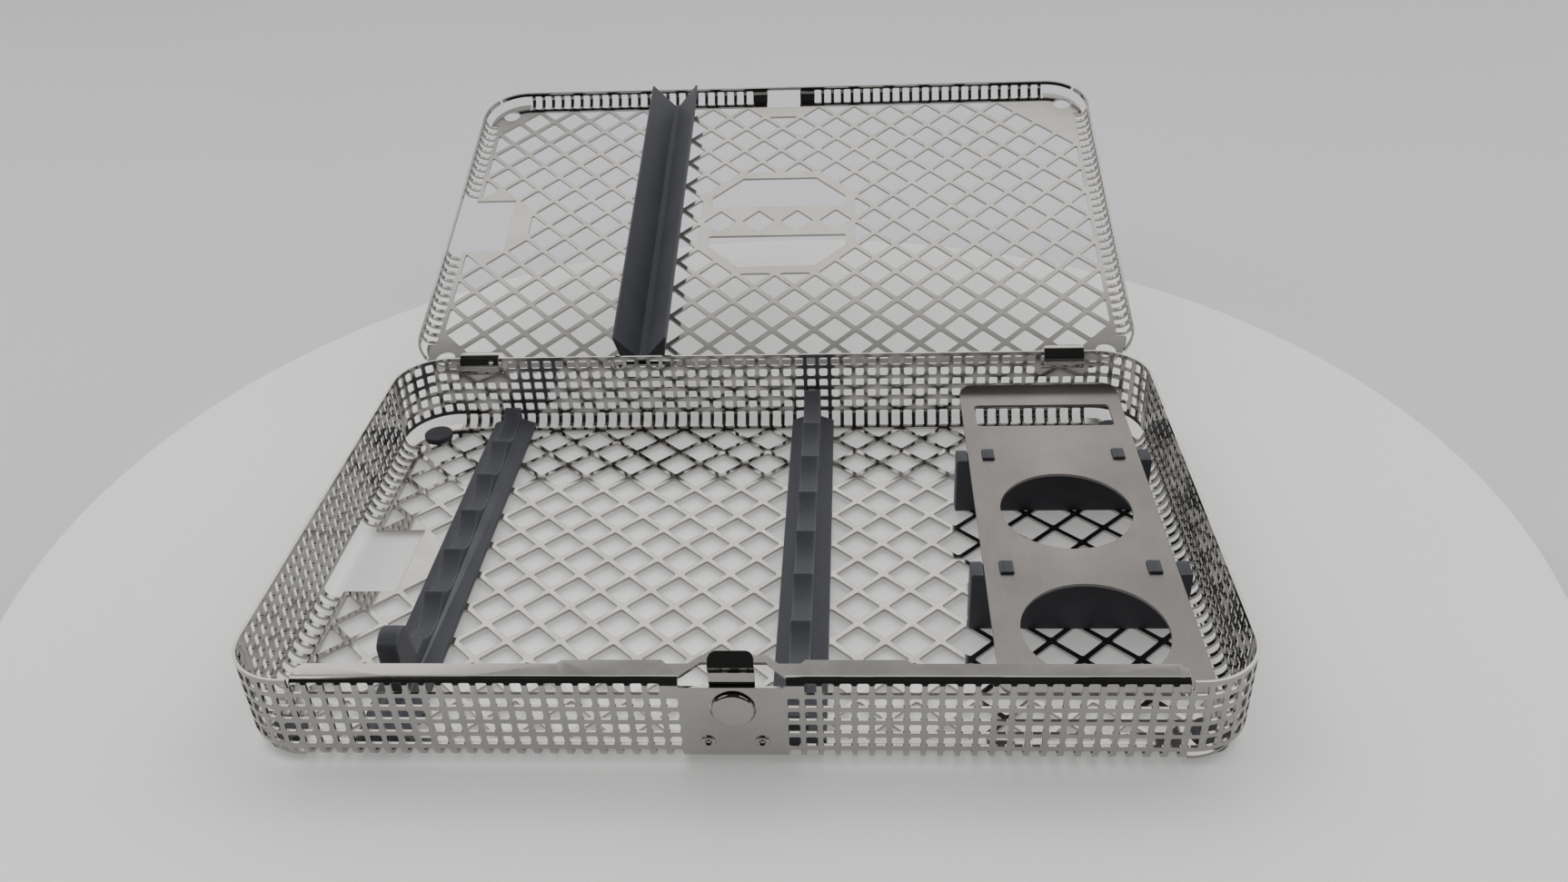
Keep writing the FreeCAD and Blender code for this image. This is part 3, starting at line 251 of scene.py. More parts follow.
# Outside of a rivet's head, from dimple to rim: shares of its radius, and of its height going inwards
RIVET_HEAD = [
    (0.0, 0.35),
    (0.17, 0.45),
    (0.28, 0.8),
    (0.33, 1.0),
    (0.39, 0.75),
    (0.46, 0.3),
    (0.58, 0.04),
    (0.7, 0.0),
    (0.82, 0.08),
    (0.92, 0.35),
    (0.98, 0.7),
    (1.0, 1.0),
]


def node_tree(name):
    """New material, its node tree and Principled shader, and a function that adds nodes with inputs set."""
    material = bpy.data.materials.new(name)
    material.use_nodes = True
    tree = material.node_tree
    shader = tree.nodes["Principled BSDF"]

    def add(kind, **inputs):
        node = tree.nodes.new(kind)
        for key, value in inputs.items():
            node.inputs[key.replace("_", " ")].default_value = value
        return node

    return material, tree, shader, add


def link(tree, source, output, target, entry):
    tree.links.new(source.outputs[output], target.inputs[entry])


def ramp(tree, low, high, low_at=0.3, high_at=0.7):
    node = tree.nodes.new("ShaderNodeValToRGB")
    node.color_ramp.elements[0].color = low
    node.color_ramp.elements[0].position = low_at
    node.color_ramp.elements[1].color = high
    node.color_ramp.elements[1].position = high_at
    return node


def grey(value):
    return (value, value, value, 1.0)


def polished_steel():
    """Bright electropolished sheet: slightly rolling, faintly cloudy, with soft cut edges."""
    material, tree, shader, add = node_tree("polished_steel")
    shader.inputs["Metallic"].default_value = 1.0
    place = add("ShaderNodeTexCoord")
    cloud = add("ShaderNodeTexNoise", Scale=55.0, Detail=4.0, Roughness=0.6)
    roll = add("ShaderNodeTexNoise", Scale=38.0, Detail=2.0)
    link(tree, place, "Object", cloud, "Vector")
    link(tree, place, "Object", roll, "Vector")
    tone = ramp(tree, *STEEL_TONES)
    gloss = ramp(tree, grey(0.06), grey(0.12))
    link(tree, cloud, "Fac", tone, "Fac")
    link(tree, cloud, "Fac", gloss, "Fac")
    link(tree, tone, "Color", shader, "Base Color")
    link(tree, gloss, "Color", shader, "Roughness")
    edge = add("ShaderNodeBevel", Radius=0.12 * MM)
    edge.samples = 4
    bump = add("ShaderNodeBump", Strength=0.12, Distance=0.4 * MM)
    link(tree, roll, "Fac", bump, "Height")
    link(tree, edge, "Normal", bump, "Normal")
    link(tree, bump, "Normal", shader, "Normal")
    return material


def brushed_plate():
    """Satin sheet with a fine grain along its length and faint clouds."""
    material, tree, shader, add = node_tree("brushed_plate")
    shader.inputs["Metallic"].default_value = 1.0
    shader.inputs["Anisotropic"].default_value = 0.35
    place = add("ShaderNodeTexCoord")
    stretch = add("ShaderNodeMapping", Scale=(1, 0.02, 1))
    link(tree, place, "Object", stretch, "Vector")
    grain = add("ShaderNodeTexNoise", Scale=4200.0, Detail=3.0, Roughness=0.7)
    link(tree, stretch, "Vector", grain, "Vector")
    cloud = add("ShaderNodeTexNoise", Scale=30.0, Detail=5.0)
    link(tree, place, "Object", cloud, "Vector")
    tone = ramp(tree, *PLATE_TONES)
    gloss = ramp(tree, grey(0.3), grey(0.42))
    link(tree, cloud, "Fac", tone, "Fac")
    link(tree, grain, "Fac", gloss, "Fac")
    link(tree, tone, "Color", shader, "Base Color")
    link(tree, gloss, "Color", shader, "Roughness")
    edge = add("ShaderNodeBevel", Radius=0.15 * MM)
    edge.samples = 4
    bump = add("ShaderNodeBump", Strength=0.25, Distance=0.02 * MM)
    link(tree, grain, "Fac", bump, "Height")
    link(tree, edge, "Normal", bump, "Normal")
    link(tree, bump, "Normal", shader, "Normal")
    return material


def edge_highlight_mask(tree, radius):
    """Output that is 0 on a face and rises to 1 along its edges, where highlights are painted."""
    bevel = tree.nodes.new("ShaderNodeBevel")
    bevel.inputs["Radius"].default_value = radius
    bevel.samples = 6
    surface = tree.nodes.new("ShaderNodeNewGeometry")
    turned = tree.nodes.new("ShaderNodeVectorMath")
    turned.operation = "DOT_PRODUCT"
    link(tree, bevel, "Normal", turned, 0)
    link(tree, surface, "True Normal", turned, 1)
    share = tree.nodes.new("ShaderNodeMapRange")
    share.inputs["From Min"].default_value = EDGE_HIGHLIGHT_START
    share.inputs["From Max"].default_value = EDGE_HIGHLIGHT_FULL
    tree.links.new(turned.outputs["Value"], share.inputs["Value"])
    return share.outputs["Result"]


def silicone():
    """Blue-grey moulded silicone: matte with a soft sheen, a fine texture and painted edge highlights."""
    material, tree, shader, add = node_tree("silicone")
    shader.inputs["Specular IOR Level"].default_value = 0.42
    shader.inputs["Sheen Weight"].default_value = 0.12
    shader.inputs["Sheen Roughness"].default_value = 0.45
    place = add("ShaderNodeTexCoord")
    cloud = add("ShaderNodeTexNoise", Scale=45.0, Detail=6.0, Roughness=0.65)
    fine = add("ShaderNodeTexNoise", Scale=2600.0, Detail=3.0)
    link(tree, place, "Object", cloud, "Vector")
    link(tree, place, "Object", fine, "Vector")
    tone = ramp(tree, *SILICONE_TONES)
    gloss = ramp(tree, grey(0.44), grey(0.58))
    link(tree, cloud, "Fac", tone, "Fac")
    link(tree, cloud, "Fac", gloss, "Fac")
    # Painted highlight: a lighter colour mixed into the silicone along its edges
    rim = tree.nodes.new("ShaderNodeMix")
    rim.data_type = "RGBA"
    tree.links.new(edge_highlight_mask(tree, EDGE_HIGHLIGHT_WIDTH * MM), rim.inputs[MIX_FACTOR])
    tree.links.new(tone.outputs["Color"], rim.inputs[MIX_FIRST])
    rim.inputs[MIX_SECOND].default_value = EDGE_HIGHLIGHT_TONE
    tree.links.new(rim.outputs[MIX_RESULT], shader.inputs["Base Color"])
    link(tree, gloss, "Color", shader, "Roughness")
    bump = add("ShaderNodeBump", Strength=0.18, Distance=0.03 * MM)
    link(tree, fine, "Fac", bump, "Height")
    link(tree, bump, "Normal", shader, "Normal")
    return material


def painted(name, low, high, roughness):
    """Plain matte surface of the stage with a very faint unevenness."""
    material, tree, shader, add = node_tree(name)
    shader.inputs["Roughness"].default_value = roughness
    place = add("ShaderNodeTexCoord")
    cloud = add("ShaderNodeTexNoise", Scale=3.0, Detail=3.0)
    link(tree, place, "Object", cloud, "Vector")
    tone = ramp(tree, low, high)
    link(tree, cloud, "Fac", tone, "Fac")
    link(tree, tone, "Color", shader, "Base Color")
    return material


def evenly_lit(material, tone):
    """Mixes one tone into what the eye and mirrors see of a stage surface, which softens its shadows."""
    tree = material.node_tree
    out = tree.nodes["Material Output"]
    glow = tree.nodes.new("ShaderNodeEmission")
    glow.inputs["Color"].default_value = tone
    path = tree.nodes.new("ShaderNodeLightPath")
    total = path.outputs["Is Camera Ray"]
    for ray in ("Is Glossy Ray", "Is Transmission Ray"):
        either = tree.nodes.new("ShaderNodeMath")
        either.operation = "MAXIMUM"
        tree.links.new(total, either.inputs[0])
        tree.links.new(path.outputs[ray], either.inputs[1])
        total = either.outputs["Value"]
    share = tree.nodes.new("ShaderNodeMath")
    share.operation = "MULTIPLY"
    share.inputs[1].default_value = EVEN_SHARE
    tree.links.new(total, share.inputs[0])
    mix = tree.nodes.new("ShaderNodeMixShader")
    tree.links.new(share.outputs["Value"], mix.inputs["Fac"])
    tree.links.new(tree.nodes["Principled BSDF"].outputs["BSDF"], mix.inputs[1])
    tree.links.new(glow.outputs["Emission"], mix.inputs[2])
    tree.links.new(mix.outputs["Shader"], out.inputs["Surface"])
    return material


FINISH = {"polished_steel": polished_steel(), "brushed_plate": brushed_plate(), "silicone": silicone()}
SLOT_OF = {part["node"]: part["material_slot"] for part in frame["record"]["subparts"]}


def body_of(node):
    bodies = frame["record"]["behaviour"]["bodies"]
    return next(body for body, members in bodies.items() if node in members)


def finish_nodes():
    """Every CAD node takes the finish of its slot."""
    for name, node in frame["nodes"].items():
        node.data.materials.clear()
        node.data.materials.append(FINISH[SLOT_OF[name]])


def softened(name):
    """Copy of a CAD node with its sharp edges rounded over, shown in place of the node."""
    source = frame["nodes"][name]
    mesh = source.data.copy()
    shape = bmesh.new()
    shape.from_mesh(mesh)
    bmesh.ops.remove_doubles(shape, verts=shape.verts, dist=WELD_DISTANCE * MM)
    flat = math.radians(FLAT_ANGLE)
    bmesh.ops.dissolve_limit(shape, angle_limit=flat, verts=shape.verts, edges=shape.edges)
    for face in shape.faces:
        face.smooth = True
    shape.to_mesh(mesh)
    shape.free()
    piece = bpy.data.objects.new(f"{name}_soft", mesh)
    bpy.context.scene.collection.objects.link(piece)
    bevel = piece.modifiers.new("round", "BEVEL")
    bevel.width = SOFT_EDGE * MM
    bevel.segments = SOFT_SEGMENTS
    bevel.limit_method = "ANGLE"
    bevel.angle_limit = math.radians(SOFT_ANGLE)
    bevel.harden_normals = True
    bevel.miter_outer = "MITER_ARC"
    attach(piece, body_of(name))
    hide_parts(name)


def rounded(points, radius, steps=3):
    """Closed 2-D outline with its corners rounded, each by at most half of its shorter side."""
    outline = []
    count = len(points)
    for k in range(count):
        before, corner, after = (Vector(points[(k + step) % count]) for step in (-1, 0, 1))
        back = before - corner
        on = after - corner
        turn = back.angle(on)
        if turn > math.radians(STRAIGHT_ANGLE):
            outline.append(tuple(corner))
            continue
        reach = min(radius / math.tan(turn / 2), back.length * MOST_OF_SIDE, on.length * MOST_OF_SIDE)
        start = corner + back.normalized() * reach
        end = corner + on.normalized() * reach
        for step in range(steps + 1):
            t = step / steps
            point = start.lerp(corner, t).lerp(corner.lerp(end, t), t)
            outline.append(tuple(point))
    return outline


def rectangle(u0, u1, v0, v1):
    return [(u0, v0), (u1, v0), (u1, v1), (u0, v1)]


def circle(u, v, radius, steps=48):
    angles = [2 * math.pi * k / steps for k in range(steps)]
    return [(u + radius * math.cos(angle), v + radius * math.sin(angle)) for angle in angles]


def wall_length(height):
    """Length along a strip's outer face, from its edge on the floor to a height on the wall."""
    return BEND_END + height - BEND_RADIUS


def flange_length(reach):
    start = wall_length(BASE_HEIGHT - FLANGE_BEND_RADIUS)
    return start + FLANGE_BEND_RADIUS * math.pi / 2 + reach - FLANGE_BEND_RADIUS


def strip_profile(length, flanged=False):
    """Outer and inner (distance from the outer face, height) at a length along a strip."""
    inner = BEND_RADIUS - SHEET
    if length < BEND_START:
        reach = PLATE_INSET - length
        return (reach, 0.0), (reach, SHEET)
    if length < BEND_END:
        angle = (length - BEND_START) / BEND_RADIUS
        sine, cosine = math.sin(angle), math.cos(angle)
        return ((BEND_RADIUS * (1 - sine), BEND_RADIUS * (1 - cosine)),
                (BEND_RADIUS - inner * sine, BEND_RADIUS - inner * cosine))
    height = BEND_RADIUS + length - BEND_END
    fold = BASE_HEIGHT - FLANGE_BEND_RADIUS
    if not flanged or height <= fold:
        return (0.0, height), (SHEET, height)
    full = math.radians(90 - FLANGE_SPRING_BACK)
    angle = min((height - fold) / FLANGE_BEND_RADIUS, full)
    past = max(height - fold - FLANGE_BEND_RADIUS * full, 0.0)
    small = FLANGE_BEND_RADIUS - SHEET
    sine, cosine = math.sin(angle), math.cos(angle)
    outer_reach = FLANGE_BEND_RADIUS * (1 - cosine) + past * sine
    outer_height = fold + FLANGE_BEND_RADIUS * sine + past * cosine
    inner_reach = FLANGE_BEND_RADIUS - small * cosine + past * sine
    inner_height = fold + small * sine + past * cosine
    return (outer_reach, outer_height), (inner_reach, inner_height)


def pattern(outline, holes, u_cuts=(), v_cuts=()):
    """Flat triangulated sheet with holes, cut along the given lines so that it can be bent there."""
    points, rings = [], []
    for ring in [outline] + holes:
        first = len(points)
        points.extend(Vector(point) for point in ring)
        turn = sum(a[0] * b[1] - b[0] * a[1] for a, b in zip(ring, list(ring[1:]) + [ring[0]]))
        order = list(range(first, len(points)))
        rings.append(order if turn > 0 else order[::-1])
    places, _, triangles, _, _, rings_round = delaunay_2d_cdt(points, [], rings, CDT_INSIDE, CDT_TOLERANCE)
    flat = bmesh.new()
    corners = [flat.verts.new((point.x, point.y, 0)) for point in places]
    for triangle, around in zip(triangles, rings_round):
        # Sheet is what lies in the outline, ring 0, and in no hole
        if list(around) == [0]:
            flat.faces.new([corners[k] for k in triangle])
    loose = [vert for vert in flat.verts if not vert.link_faces]
    bmesh.ops.delete(flat, geom=loose, context="VERTS")
    cuts = [((u, 0, 0), (1, 0, 0)) for u in u_cuts] + [((0, v, 0), (0, 1, 0)) for v in v_cuts]
    for place, normal in cuts:
        everything = flat.verts[:] + flat.edges[:] + flat.faces[:]
        bmesh.ops.bisect_plane(flat, geom=everything, dist=CUT_TOLERANCE, plane_co=place, plane_no=normal)
    return flat


def add_sheet(target, flat, place):
    """Adds a flat pattern as a closed sheet; place turns (u, v) into its outer and inner point."""
    outer, inner = {}, {}
    for vert in flat.verts:
        out_point, in_point = place(vert.co.x, vert.co.y)
        outer[vert] = target.verts.new(out_point)
        inner[vert] = target.verts.new(in_point)
    for face in flat.faces:
        target.faces.new([outer[vert] for vert in face.verts])
        target.faces.new([inner[vert] for vert in reversed(face.verts)])
    for edge in flat.edges:
        if len(edge.link_faces) == 1:
            a, b = edge.verts
            target.faces.new([outer[a], inner[a], inner[b], outer[b]])
    flat.free()


def side_places():
    """The four sides as functions from (along, distance from the outer face, height) to a point."""
    width, depth = TRAY_HALF_WIDTH, TRAY_HALF_DEPTH
    return {
        "front": lambda u, d, z: (u, d - depth, z),
        "back": lambda u, d, z: (-u, depth - d, z),
        "right": lambda u, d, z: (width - d, u, z),
        "left": lambda u, d, z: (d - width, -u, z),
    }


def add_strip(target, side, outline, holes, flanged=False):
    """Adds a bent strip, with lines across its bends."""
    bend = [BEND_START + (BEND_END - BEND_START) * k / BEND_STEPS for k in range(BEND_STEPS + 1)]
    if flanged:
        fold = wall_length(BASE_HEIGHT - FLANGE_BEND_RADIUS)
        arc = FLANGE_BEND_RADIUS * math.pi / 2
        bend += [fold + arc * k / FLANGE_STEPS for k in range(FLANGE_STEPS + 1)]
    flat = pattern(outline, holes, v_cuts=bend)
    at = side_places()[side]

    def place(u, v):
        (out_d, out_z), (in_d, in_z) = strip_profile(v, flanged)
        return at(u, out_d, out_z), at(u, in_d, in_z)

    add_sheet(target, flat, place)


def long_columns():
    half = [(k + 0.5) * HOLE_PITCH for k in range(LONG_COLUMNS)]
    return [-x for x in reversed(half)] + half


def side_columns():
    return [k * HOLE_PITCH for k in range(-SIDE_COLUMNS, SIDE_COLUMNS + 1)]


def rows():
    return [LOW_ROW_HEIGHT + k * HOLE_PITCH for k in range(ROWS)]


def wall_hole(u, height, taller=0.0):
    v = wall_length(height)
    half = HOLE_SIZE / 2
    return rounded(rectangle(u - half, u + half, v - half, v + half + taller), HOLE_ROUNDING)


def bend_slot(u):
    half = HOLE_SIZE / 2
    slot = rectangle(u - half, u + half, PLATE_INSET - SLOT_FOOT, wall_length(SLOT_TOP))
    return rounded(slot, HOLE_ROUNDING)


def near_hook(u, reach):
    return min(abs(u - HOOK_X), abs(u + HOOK_X)) < HOOK_SLOT_HALF + reach


def front_side(target):
    """Front wall, its floor bend and its inward flange, as one folded sheet with the latch cut-out."""
    top_row = rows()[-1]
    holes = []
    for u in long_columns():
        if abs(u) < PLAIN_HALF:
            continue
        holes.append(bend_slot(u))
        for height in rows():
            if height != top_row or abs(u) - HOLE_SIZE / 2 > CUTOUT_HALF + EDGE_STRIP:
                holes.append(wall_hole(u, height, TOP_ROW_EXTRA if height == top_row else 0.0))
    holes.append(circle(0, wall_length(BUTTON_HEIGHT), BUTTON_HOLE_RADIUS))
    for x in (-RIVET_X, RIVET_X):
        holes.append(circle(x, wall_length(LOW_ROW_HEIGHT), RIVET_HOLE_RADIUS, RIVET_HOLE_STEPS))
    narrow = CUTOUT_HALF - (CUTOUT_DEPTH - CUTOUT_SLOPE_START)
    low = wall_length(BASE_HEIGHT - CUTOUT_DROP)
    cutout = [
        (CUTOUT_HALF, low),
        (CUTOUT_HALF, flange_length(CUTOUT_SLOPE_START)),
        (narrow, flange_length(CUTOUT_DEPTH)),
    ]
    cutout += [(-u, v) for u, v in reversed(cutout)]
    holes.append(rounded(cutout, CUTOUT_ROUNDING))
    step = (FLANGE_WIDE_REACH - FLANGE_REACH) / 2
    strip_edge = CUTOUT_DEPTH + CUTOUT_STRIP
    fold = wall_length(BASE_HEIGHT - FLANGE_BEND_RADIUS)
    edge = flange_length(FLANGE_REACH)
    wide = flange_length(FLANGE_WIDE_REACH)
    right = [
        (LONG_HALF + RIB_HALF, 0.0),
        (LONG_HALF + RIB_HALF, wall_length(SLOT_TOP)),
        (LONG_HALF, wall_length(SLOT_TOP)),
        (LONG_HALF, fold),
        (FLANGE_HALF, fold),
        (FLANGE_HALF, flange_length(FLANGE_REACH - FLANGE_CHAMFER)),
        (FLANGE_HALF - FLANGE_CHAMFER, edge),
        (FLANGE_WIDE_OUTER + step, edge),
        (FLANGE_WIDE_OUTER - step, wide),
        (FLANGE_WIDE_INNER + step, wide),
        (FLANGE_WIDE_INNER - step, edge),
        (narrow + strip_edge - FLANGE_REACH, edge),
        (narrow, flange_length(strip_edge)),
    ]
    outline = right + [(-u, v) for u, v in reversed(right)]
    add_strip(target, "front", rounded(outline, EDGE_ROUNDING, 2), holes, flanged=True)


def strip_outline(half, top, rib=0.0):
    """Plain strip, a little wider along the bend than on the wall above."""
    slot = wall_length(SLOT_TOP)
    edge = wall_length(top)
    if rib and top > SLOT_TOP + SHEET:
        return [
            (-half - rib, 0),
            (half + rib, 0),
            (half + rib, slot),
            (half, slot),
            (half, edge),
            (-half, edge),
            (-half, slot),
            (-half - rib, slot),
        ]
    return rectangle(-half, half, 0, edge)


def back_side(target):
    holes = []
    for u in long_columns():
        holes.append(bend_slot(u))
        for height in rows():
            if not (near_hook(u, EDGE_STRIP) and height > HOOK_SLOT_LOW - HOLE_SIZE / 2 - EDGE_STRIP):
                holes.append(wall_hole(u, height))
    low = wall_length(HOOK_SLOT_LOW)
    high = wall_length(HOOK_SLOT_HIGH)
    for x in (-HOOK_X, HOOK_X):
        slot = rectangle(x - HOOK_SLOT_HALF, x + HOOK_SLOT_HALF, low, high)
        holes.append(rounded(slot, HOOK_SLOT_ROUNDING))
    add_strip(target, "back", strip_outline(LONG_HALF, BASE_HEIGHT, RIB_HALF), holes)


def label_slot_edges():
    """Ends of the slots that the label window runs into."""
    first = HOLE_PITCH * math.ceil((LABEL_HALF - HOLE_SIZE / 2) / HOLE_PITCH)
    return first + HOLE_SIZE / 2


def side_wall(target, side, top, heights):
    """Left or right wall; the left one is notched for the label window."""
    labelled = side == "left"
    holes = []
    reach = label_slot_edges()
    for u in side_columns():
        if not labelled or abs(u) > reach:
            holes.append(bend_slot(u))
        for height in heights:
            holes.append(wall_hole(u, height))
    if labelled:
        low = wall_length(SLOT_TOP)
        foot = PLATE_INSET - SLOT_FOOT
        half = [(LABEL_HALF, 0.0), (LABEL_HALF, foot), (reach, foot), (reach, low)]
        notch = half + [(-u, v) for u, v in reversed(half)]
        edge = wall_length(top)
        outline = notch + [(-SIDE_HALF, 0.0), (-SIDE_HALF, edge), (SIDE_HALF, edge), (SIDE_HALF, 0.0)]
    else:
        outline = strip_outline(SIDE_HALF, top)
    add_strip(target, side, outline, holes)


def band_place(u):
    """Outer point and outward normal round the back right corner, at a length u from its start."""
    if u < CORNER_STRAIGHT:
        return (LONG_HALF + u, TRAY_HALF_DEPTH), (0.0, 1.0)
    if u < CORNER_STRAIGHT + CORNER_ARC:
        angle = (u - CORNER_STRAIGHT) / CORNER_RADIUS
        normal = (math.sin(angle), math.cos(angle))
        return (ARC_X + CORNER_RADIUS * normal[0], ARC_Y + CORNER_RADIUS * normal[1]), normal
    return (TRAY_HALF_WIDTH, ARC_Y - (u - CORNER_STRAIGHT - CORNER_ARC)), (1.0, 0.0)


def add_band(target, outline, holes, mirror_x, mirror_y):
    """Adds a wall round a corner, drawn for the back right one and mirrored to the others."""
    cuts = [CORNER_STRAIGHT + CORNER_ARC * k / CORNER_STEPS for k in range(CORNER_STEPS + 1)]
    flat = pattern(outline, holes, u_cuts=cuts)

    def place(u, v):
        (x, y), (nx, ny) = band_place(u)
        return ((mirror_x * x, mirror_y * y, v),
                (mirror_x * (x - SHEET * nx), mirror_y * (y - SHEET * ny), v))

    add_sheet(target, flat, place)


def base_corners(target):
    """The four corner walls, each with an open seam to its side wall and a weld tab at the top."""
    middle = CORNER_RADIUS - SHEET / 2
    total = CORNER_STRAIGHT + CORNER_ARC + ARC_Y - SIDE_HALF
    seam_angle = math.acos((SIDE_HALF + SEAM_GAP - ARC_Y) / CORNER_RADIUS)
    seam = CORNER_STRAIGHT + CORNER_RADIUS * seam_angle
    top = BASE_HEIGHT
    outline = [
        (0, SLOT_TOP),
        (seam, SLOT_TOP),
        (seam, top - WELD_TAB),
        (total, top - WELD_TAB),
        (total, top),
        (0, top),
    ]
    half = HOLE_SIZE / 2
    holes = []
    for column in range(CORNER_COLUMNS):
        run = (column + 0.5) * HOLE_PITCH
        u = CORNER_STRAIGHT + (run - CORNER_STRAIGHT) / middle * CORNER_RADIUS
        for height in rows():
            hole = rectangle(u - half, u + half, height - half, height + half)
            holes.append(rounded(hole, HOLE_ROUNDING))
    for mirror_x, mirror_y in CORNERS:
        add_band(target, outline, holes, mirror_x, mirror_y)


def lid_corners(target):
    """The lid's corner rims, each open in its middle."""
    total = CORNER_STRAIGHT + CORNER_ARC + ARC_Y - SIDE_HALF
    middle = CORNER_STRAIGHT + CORNER_ARC / 2
    half = LID_CORNER_GAP / 2
    for start, end in ((RIB_HALF, middle - half), (middle + half, total)):
        outline = rounded(rectangle(start, end, SLOT_TOP, LID_HEIGHT), LID_TAB_ROUNDING, 1)
        for mirror_x, mirror_y in CORNERS:
            add_band(target, outline, [], mirror_x, mirror_y)


def plate_corner():
    """Outline of the flat plate round its back right corner."""
    radius = CORNER_RADIUS - SHEET - CORNER_PLATE_GAP
    tab_x = LONG_HALF + RIB_HALF + CORNER_TAB_GAP
    tab_y = SIDE_HALF + CORNER_TAB_GAP
    first = math.acos((tab_x - ARC_X) / radius)
    last = math.asin((tab_y - ARC_Y) / radius)
    angles = [first + (last - first) * k / PLATE_ARC_STEPS for k in range(PLATE_ARC_STEPS + 1)]
    arc = [(ARC_X + radius * math.cos(angle), ARC_Y + radius * math.sin(angle)) for angle in angles]
    return [(tab_x, TRAY_HALF_DEPTH - PLATE_INSET)] + arc + [(TRAY_HALF_WIDTH - PLATE_INSET, tab_y)]


def plate_outline(notch_half=None):
    """Outline of the flat plate with its label notch, and a latch notch where its half width is given."""
    corner = plate_corner()
    outline = list(corner)
    outline += [(x, -y) for x, y in reversed(corner)]
    outline += [(-x, -y) for x, y in corner]
    edge = PLATE_INSET - TRAY_HALF_WIDTH
    inner = LABEL_REACH - TRAY_HALF_WIDTH
    outline += [(edge, -LABEL_HALF), (inner, -LABEL_HALF), (inner, LABEL_HALF), (edge, LABEL_HALF)]
    outline += [(-x, y) for x, y in reversed(corner)]
    if notch_half:
        edge = TRAY_HALF_DEPTH - PLATE_INSET
        bottom = TRAY_HALF_DEPTH - LATCH_WINDOW_REACH
        outline += [(-notch_half, edge), (-notch_half, bottom), (notch_half, bottom), (notch_half, edge)]
    return outline


def cell(i, j, keep=None):
    """Diamond opening of the lattice, or the half of it that keep names."""
    x, y = i * HALF_CELL, j * HALF_CELL
    corners = {"right": (x + CELL_REACH, y), "back": (x, y + CELL_REACH),
               "left": (x - CELL_REACH, y), "front": (x, y - CELL_REACH)}
    opposite = {"right": "left", "left": "right", "back": "front", "front": "back"}
    if keep:
        del corners[opposite[keep]]
    return rounded(list(corners.values()), LATTICE_ROUNDING, 2)


def border_half(i, j):
    """Which half of a cell is left where the lattice ends, or None where it is whole."""
    if abs(i) == LATTICE_COLUMNS:
        return "left" if i > 0 else "right"
    if abs(j) == LATTICE_ROWS:
        return "front" if j > 0 else "back"
    return None


def label_half(i, j):
    """What the label window leaves of a cell: its right half, "none", or None where it is whole."""
    x, y = i * HALF_CELL, abs(j * HALF_CELL)
    inner = LABEL_REACH - TRAY_HALF_WIDTH
    if x < inner + CELL_REACH and y < LABEL_HALF + CELL_REACH - LATTICE_RIB / 2:
        return "none"
    if x < inner + HALF_CELL + LATTICE_RIB and y < LABEL_HALF - CELL_REACH / 2:
        return "right"
    return None


def lattice_places():
    """Every cell of the lattice, with the half of it that is left, or None where it is whole."""
    most = LATTICE_COLUMNS + LATTICE_ROWS - LATTICE_CORNER_CELLS
    for i in range(-LATTICE_COLUMNS, LATTICE_COLUMNS + 1):
        for j in range(-LATTICE_ROWS, LATTICE_ROWS + 1):
            label = label_half(i, j)
            if (i + j) % 2 and abs(i) + abs(j) <= most and label != "none":
                yield i, j, label or border_half(i, j)


def lid_half(i, j, half):
    """What the lid keeps of a cell near its windows, its latch end and its plain corner."""
    near = abs(i) + abs(j) <= LID_WINDOW_CELLS + 1
    most = LATTICE_COLUMNS + LATTICE_ROWS - LID_PLAIN_CORNER_CELLS
    plain_corner = i > 0 and j > 0 and i + j > most
    if plain_corner or (abs(i) == 1 and j == LATTICE_ROWS):
        return "none"
    if i == 0 and j == LATTICE_ROWS - 1:
        return "front"
    if near and max(abs(i), abs(j)) < LID_WINDOW_CELLS and j != 0:
        return "none"
    if near and abs(j) == LID_WINDOW_CELLS:
        return "back" if j > 0 else "front"
    if near and abs(i) == LID_WINDOW_CELLS:
        return "right" if i > 0 else "left"
    return half


def lid_windows():
    """The two halves of the octagonal window, which the middle band parts."""
    top = LID_WINDOW_CELLS * HALF_CELL - LID_WINDOW_BAND
    slope = LID_WINDOW_SLOPE_CELLS * HALF_CELL - CELL_REACH - LID_WINDOW_BAND * math.sqrt(2) - top
    low = CELL_REACH + LID_MIDDLE_BAND
    points = [(-top, low), (top, low), (top, slope), (slope, top), (-slope, top), (-top, slope)]
    mirrored = [(x, -y) for x, y in points]
    return [rounded(points, LID_WINDOW_ROUNDING), rounded(mirrored, LID_WINDOW_ROUNDING)]


def foot_holes():
    x = TRAY_HALF_WIDTH - FOOT_INSET
    y = TRAY_HALF_DEPTH - FOOT_INSET
    return [circle(sx * x, sy * y, FOOT_HOLE_RADIUS, FOOT_HOLE_STEPS) for sx, sy in CORNERS]


def add_plate(target, outline, holes):
    add_sheet(target, pattern(outline, holes), lambda x, y: ((x, y, 0.0), (x, y, SHEET)))


def stand_in(name, shape, matrix):
    """Turns a collected shape, in millimetres, into the piece that stands in for a CAD node."""
    bmesh.ops.recalc_face_normals(shape, faces=shape.faces)
    for face in shape.faces:
        face.smooth = True
    mesh = bpy.data.meshes.new(f"{name}_fine")
    shape.to_mesh(mesh)
    shape.free()
    mesh.transform(matrix @ Matrix.Scale(MM, 4))
    mesh.set_sharp_from_angle(angle=math.radians(SHARP_ANGLE))
    mesh.materials.append(FINISH[SLOT_OF[name]])
    piece = bpy.data.objects.new(f"{name}_fine", mesh)
    bpy.context.scene.collection.objects.link(piece)
    shading = piece.modifiers.new("flat_faces_stay_flat", "WEIGHTED_NORMAL")
    shading.keep_sharp = True
    shading.weight = FLAT_WEIGHT
    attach(piece, body_of(name))
    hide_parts(name)


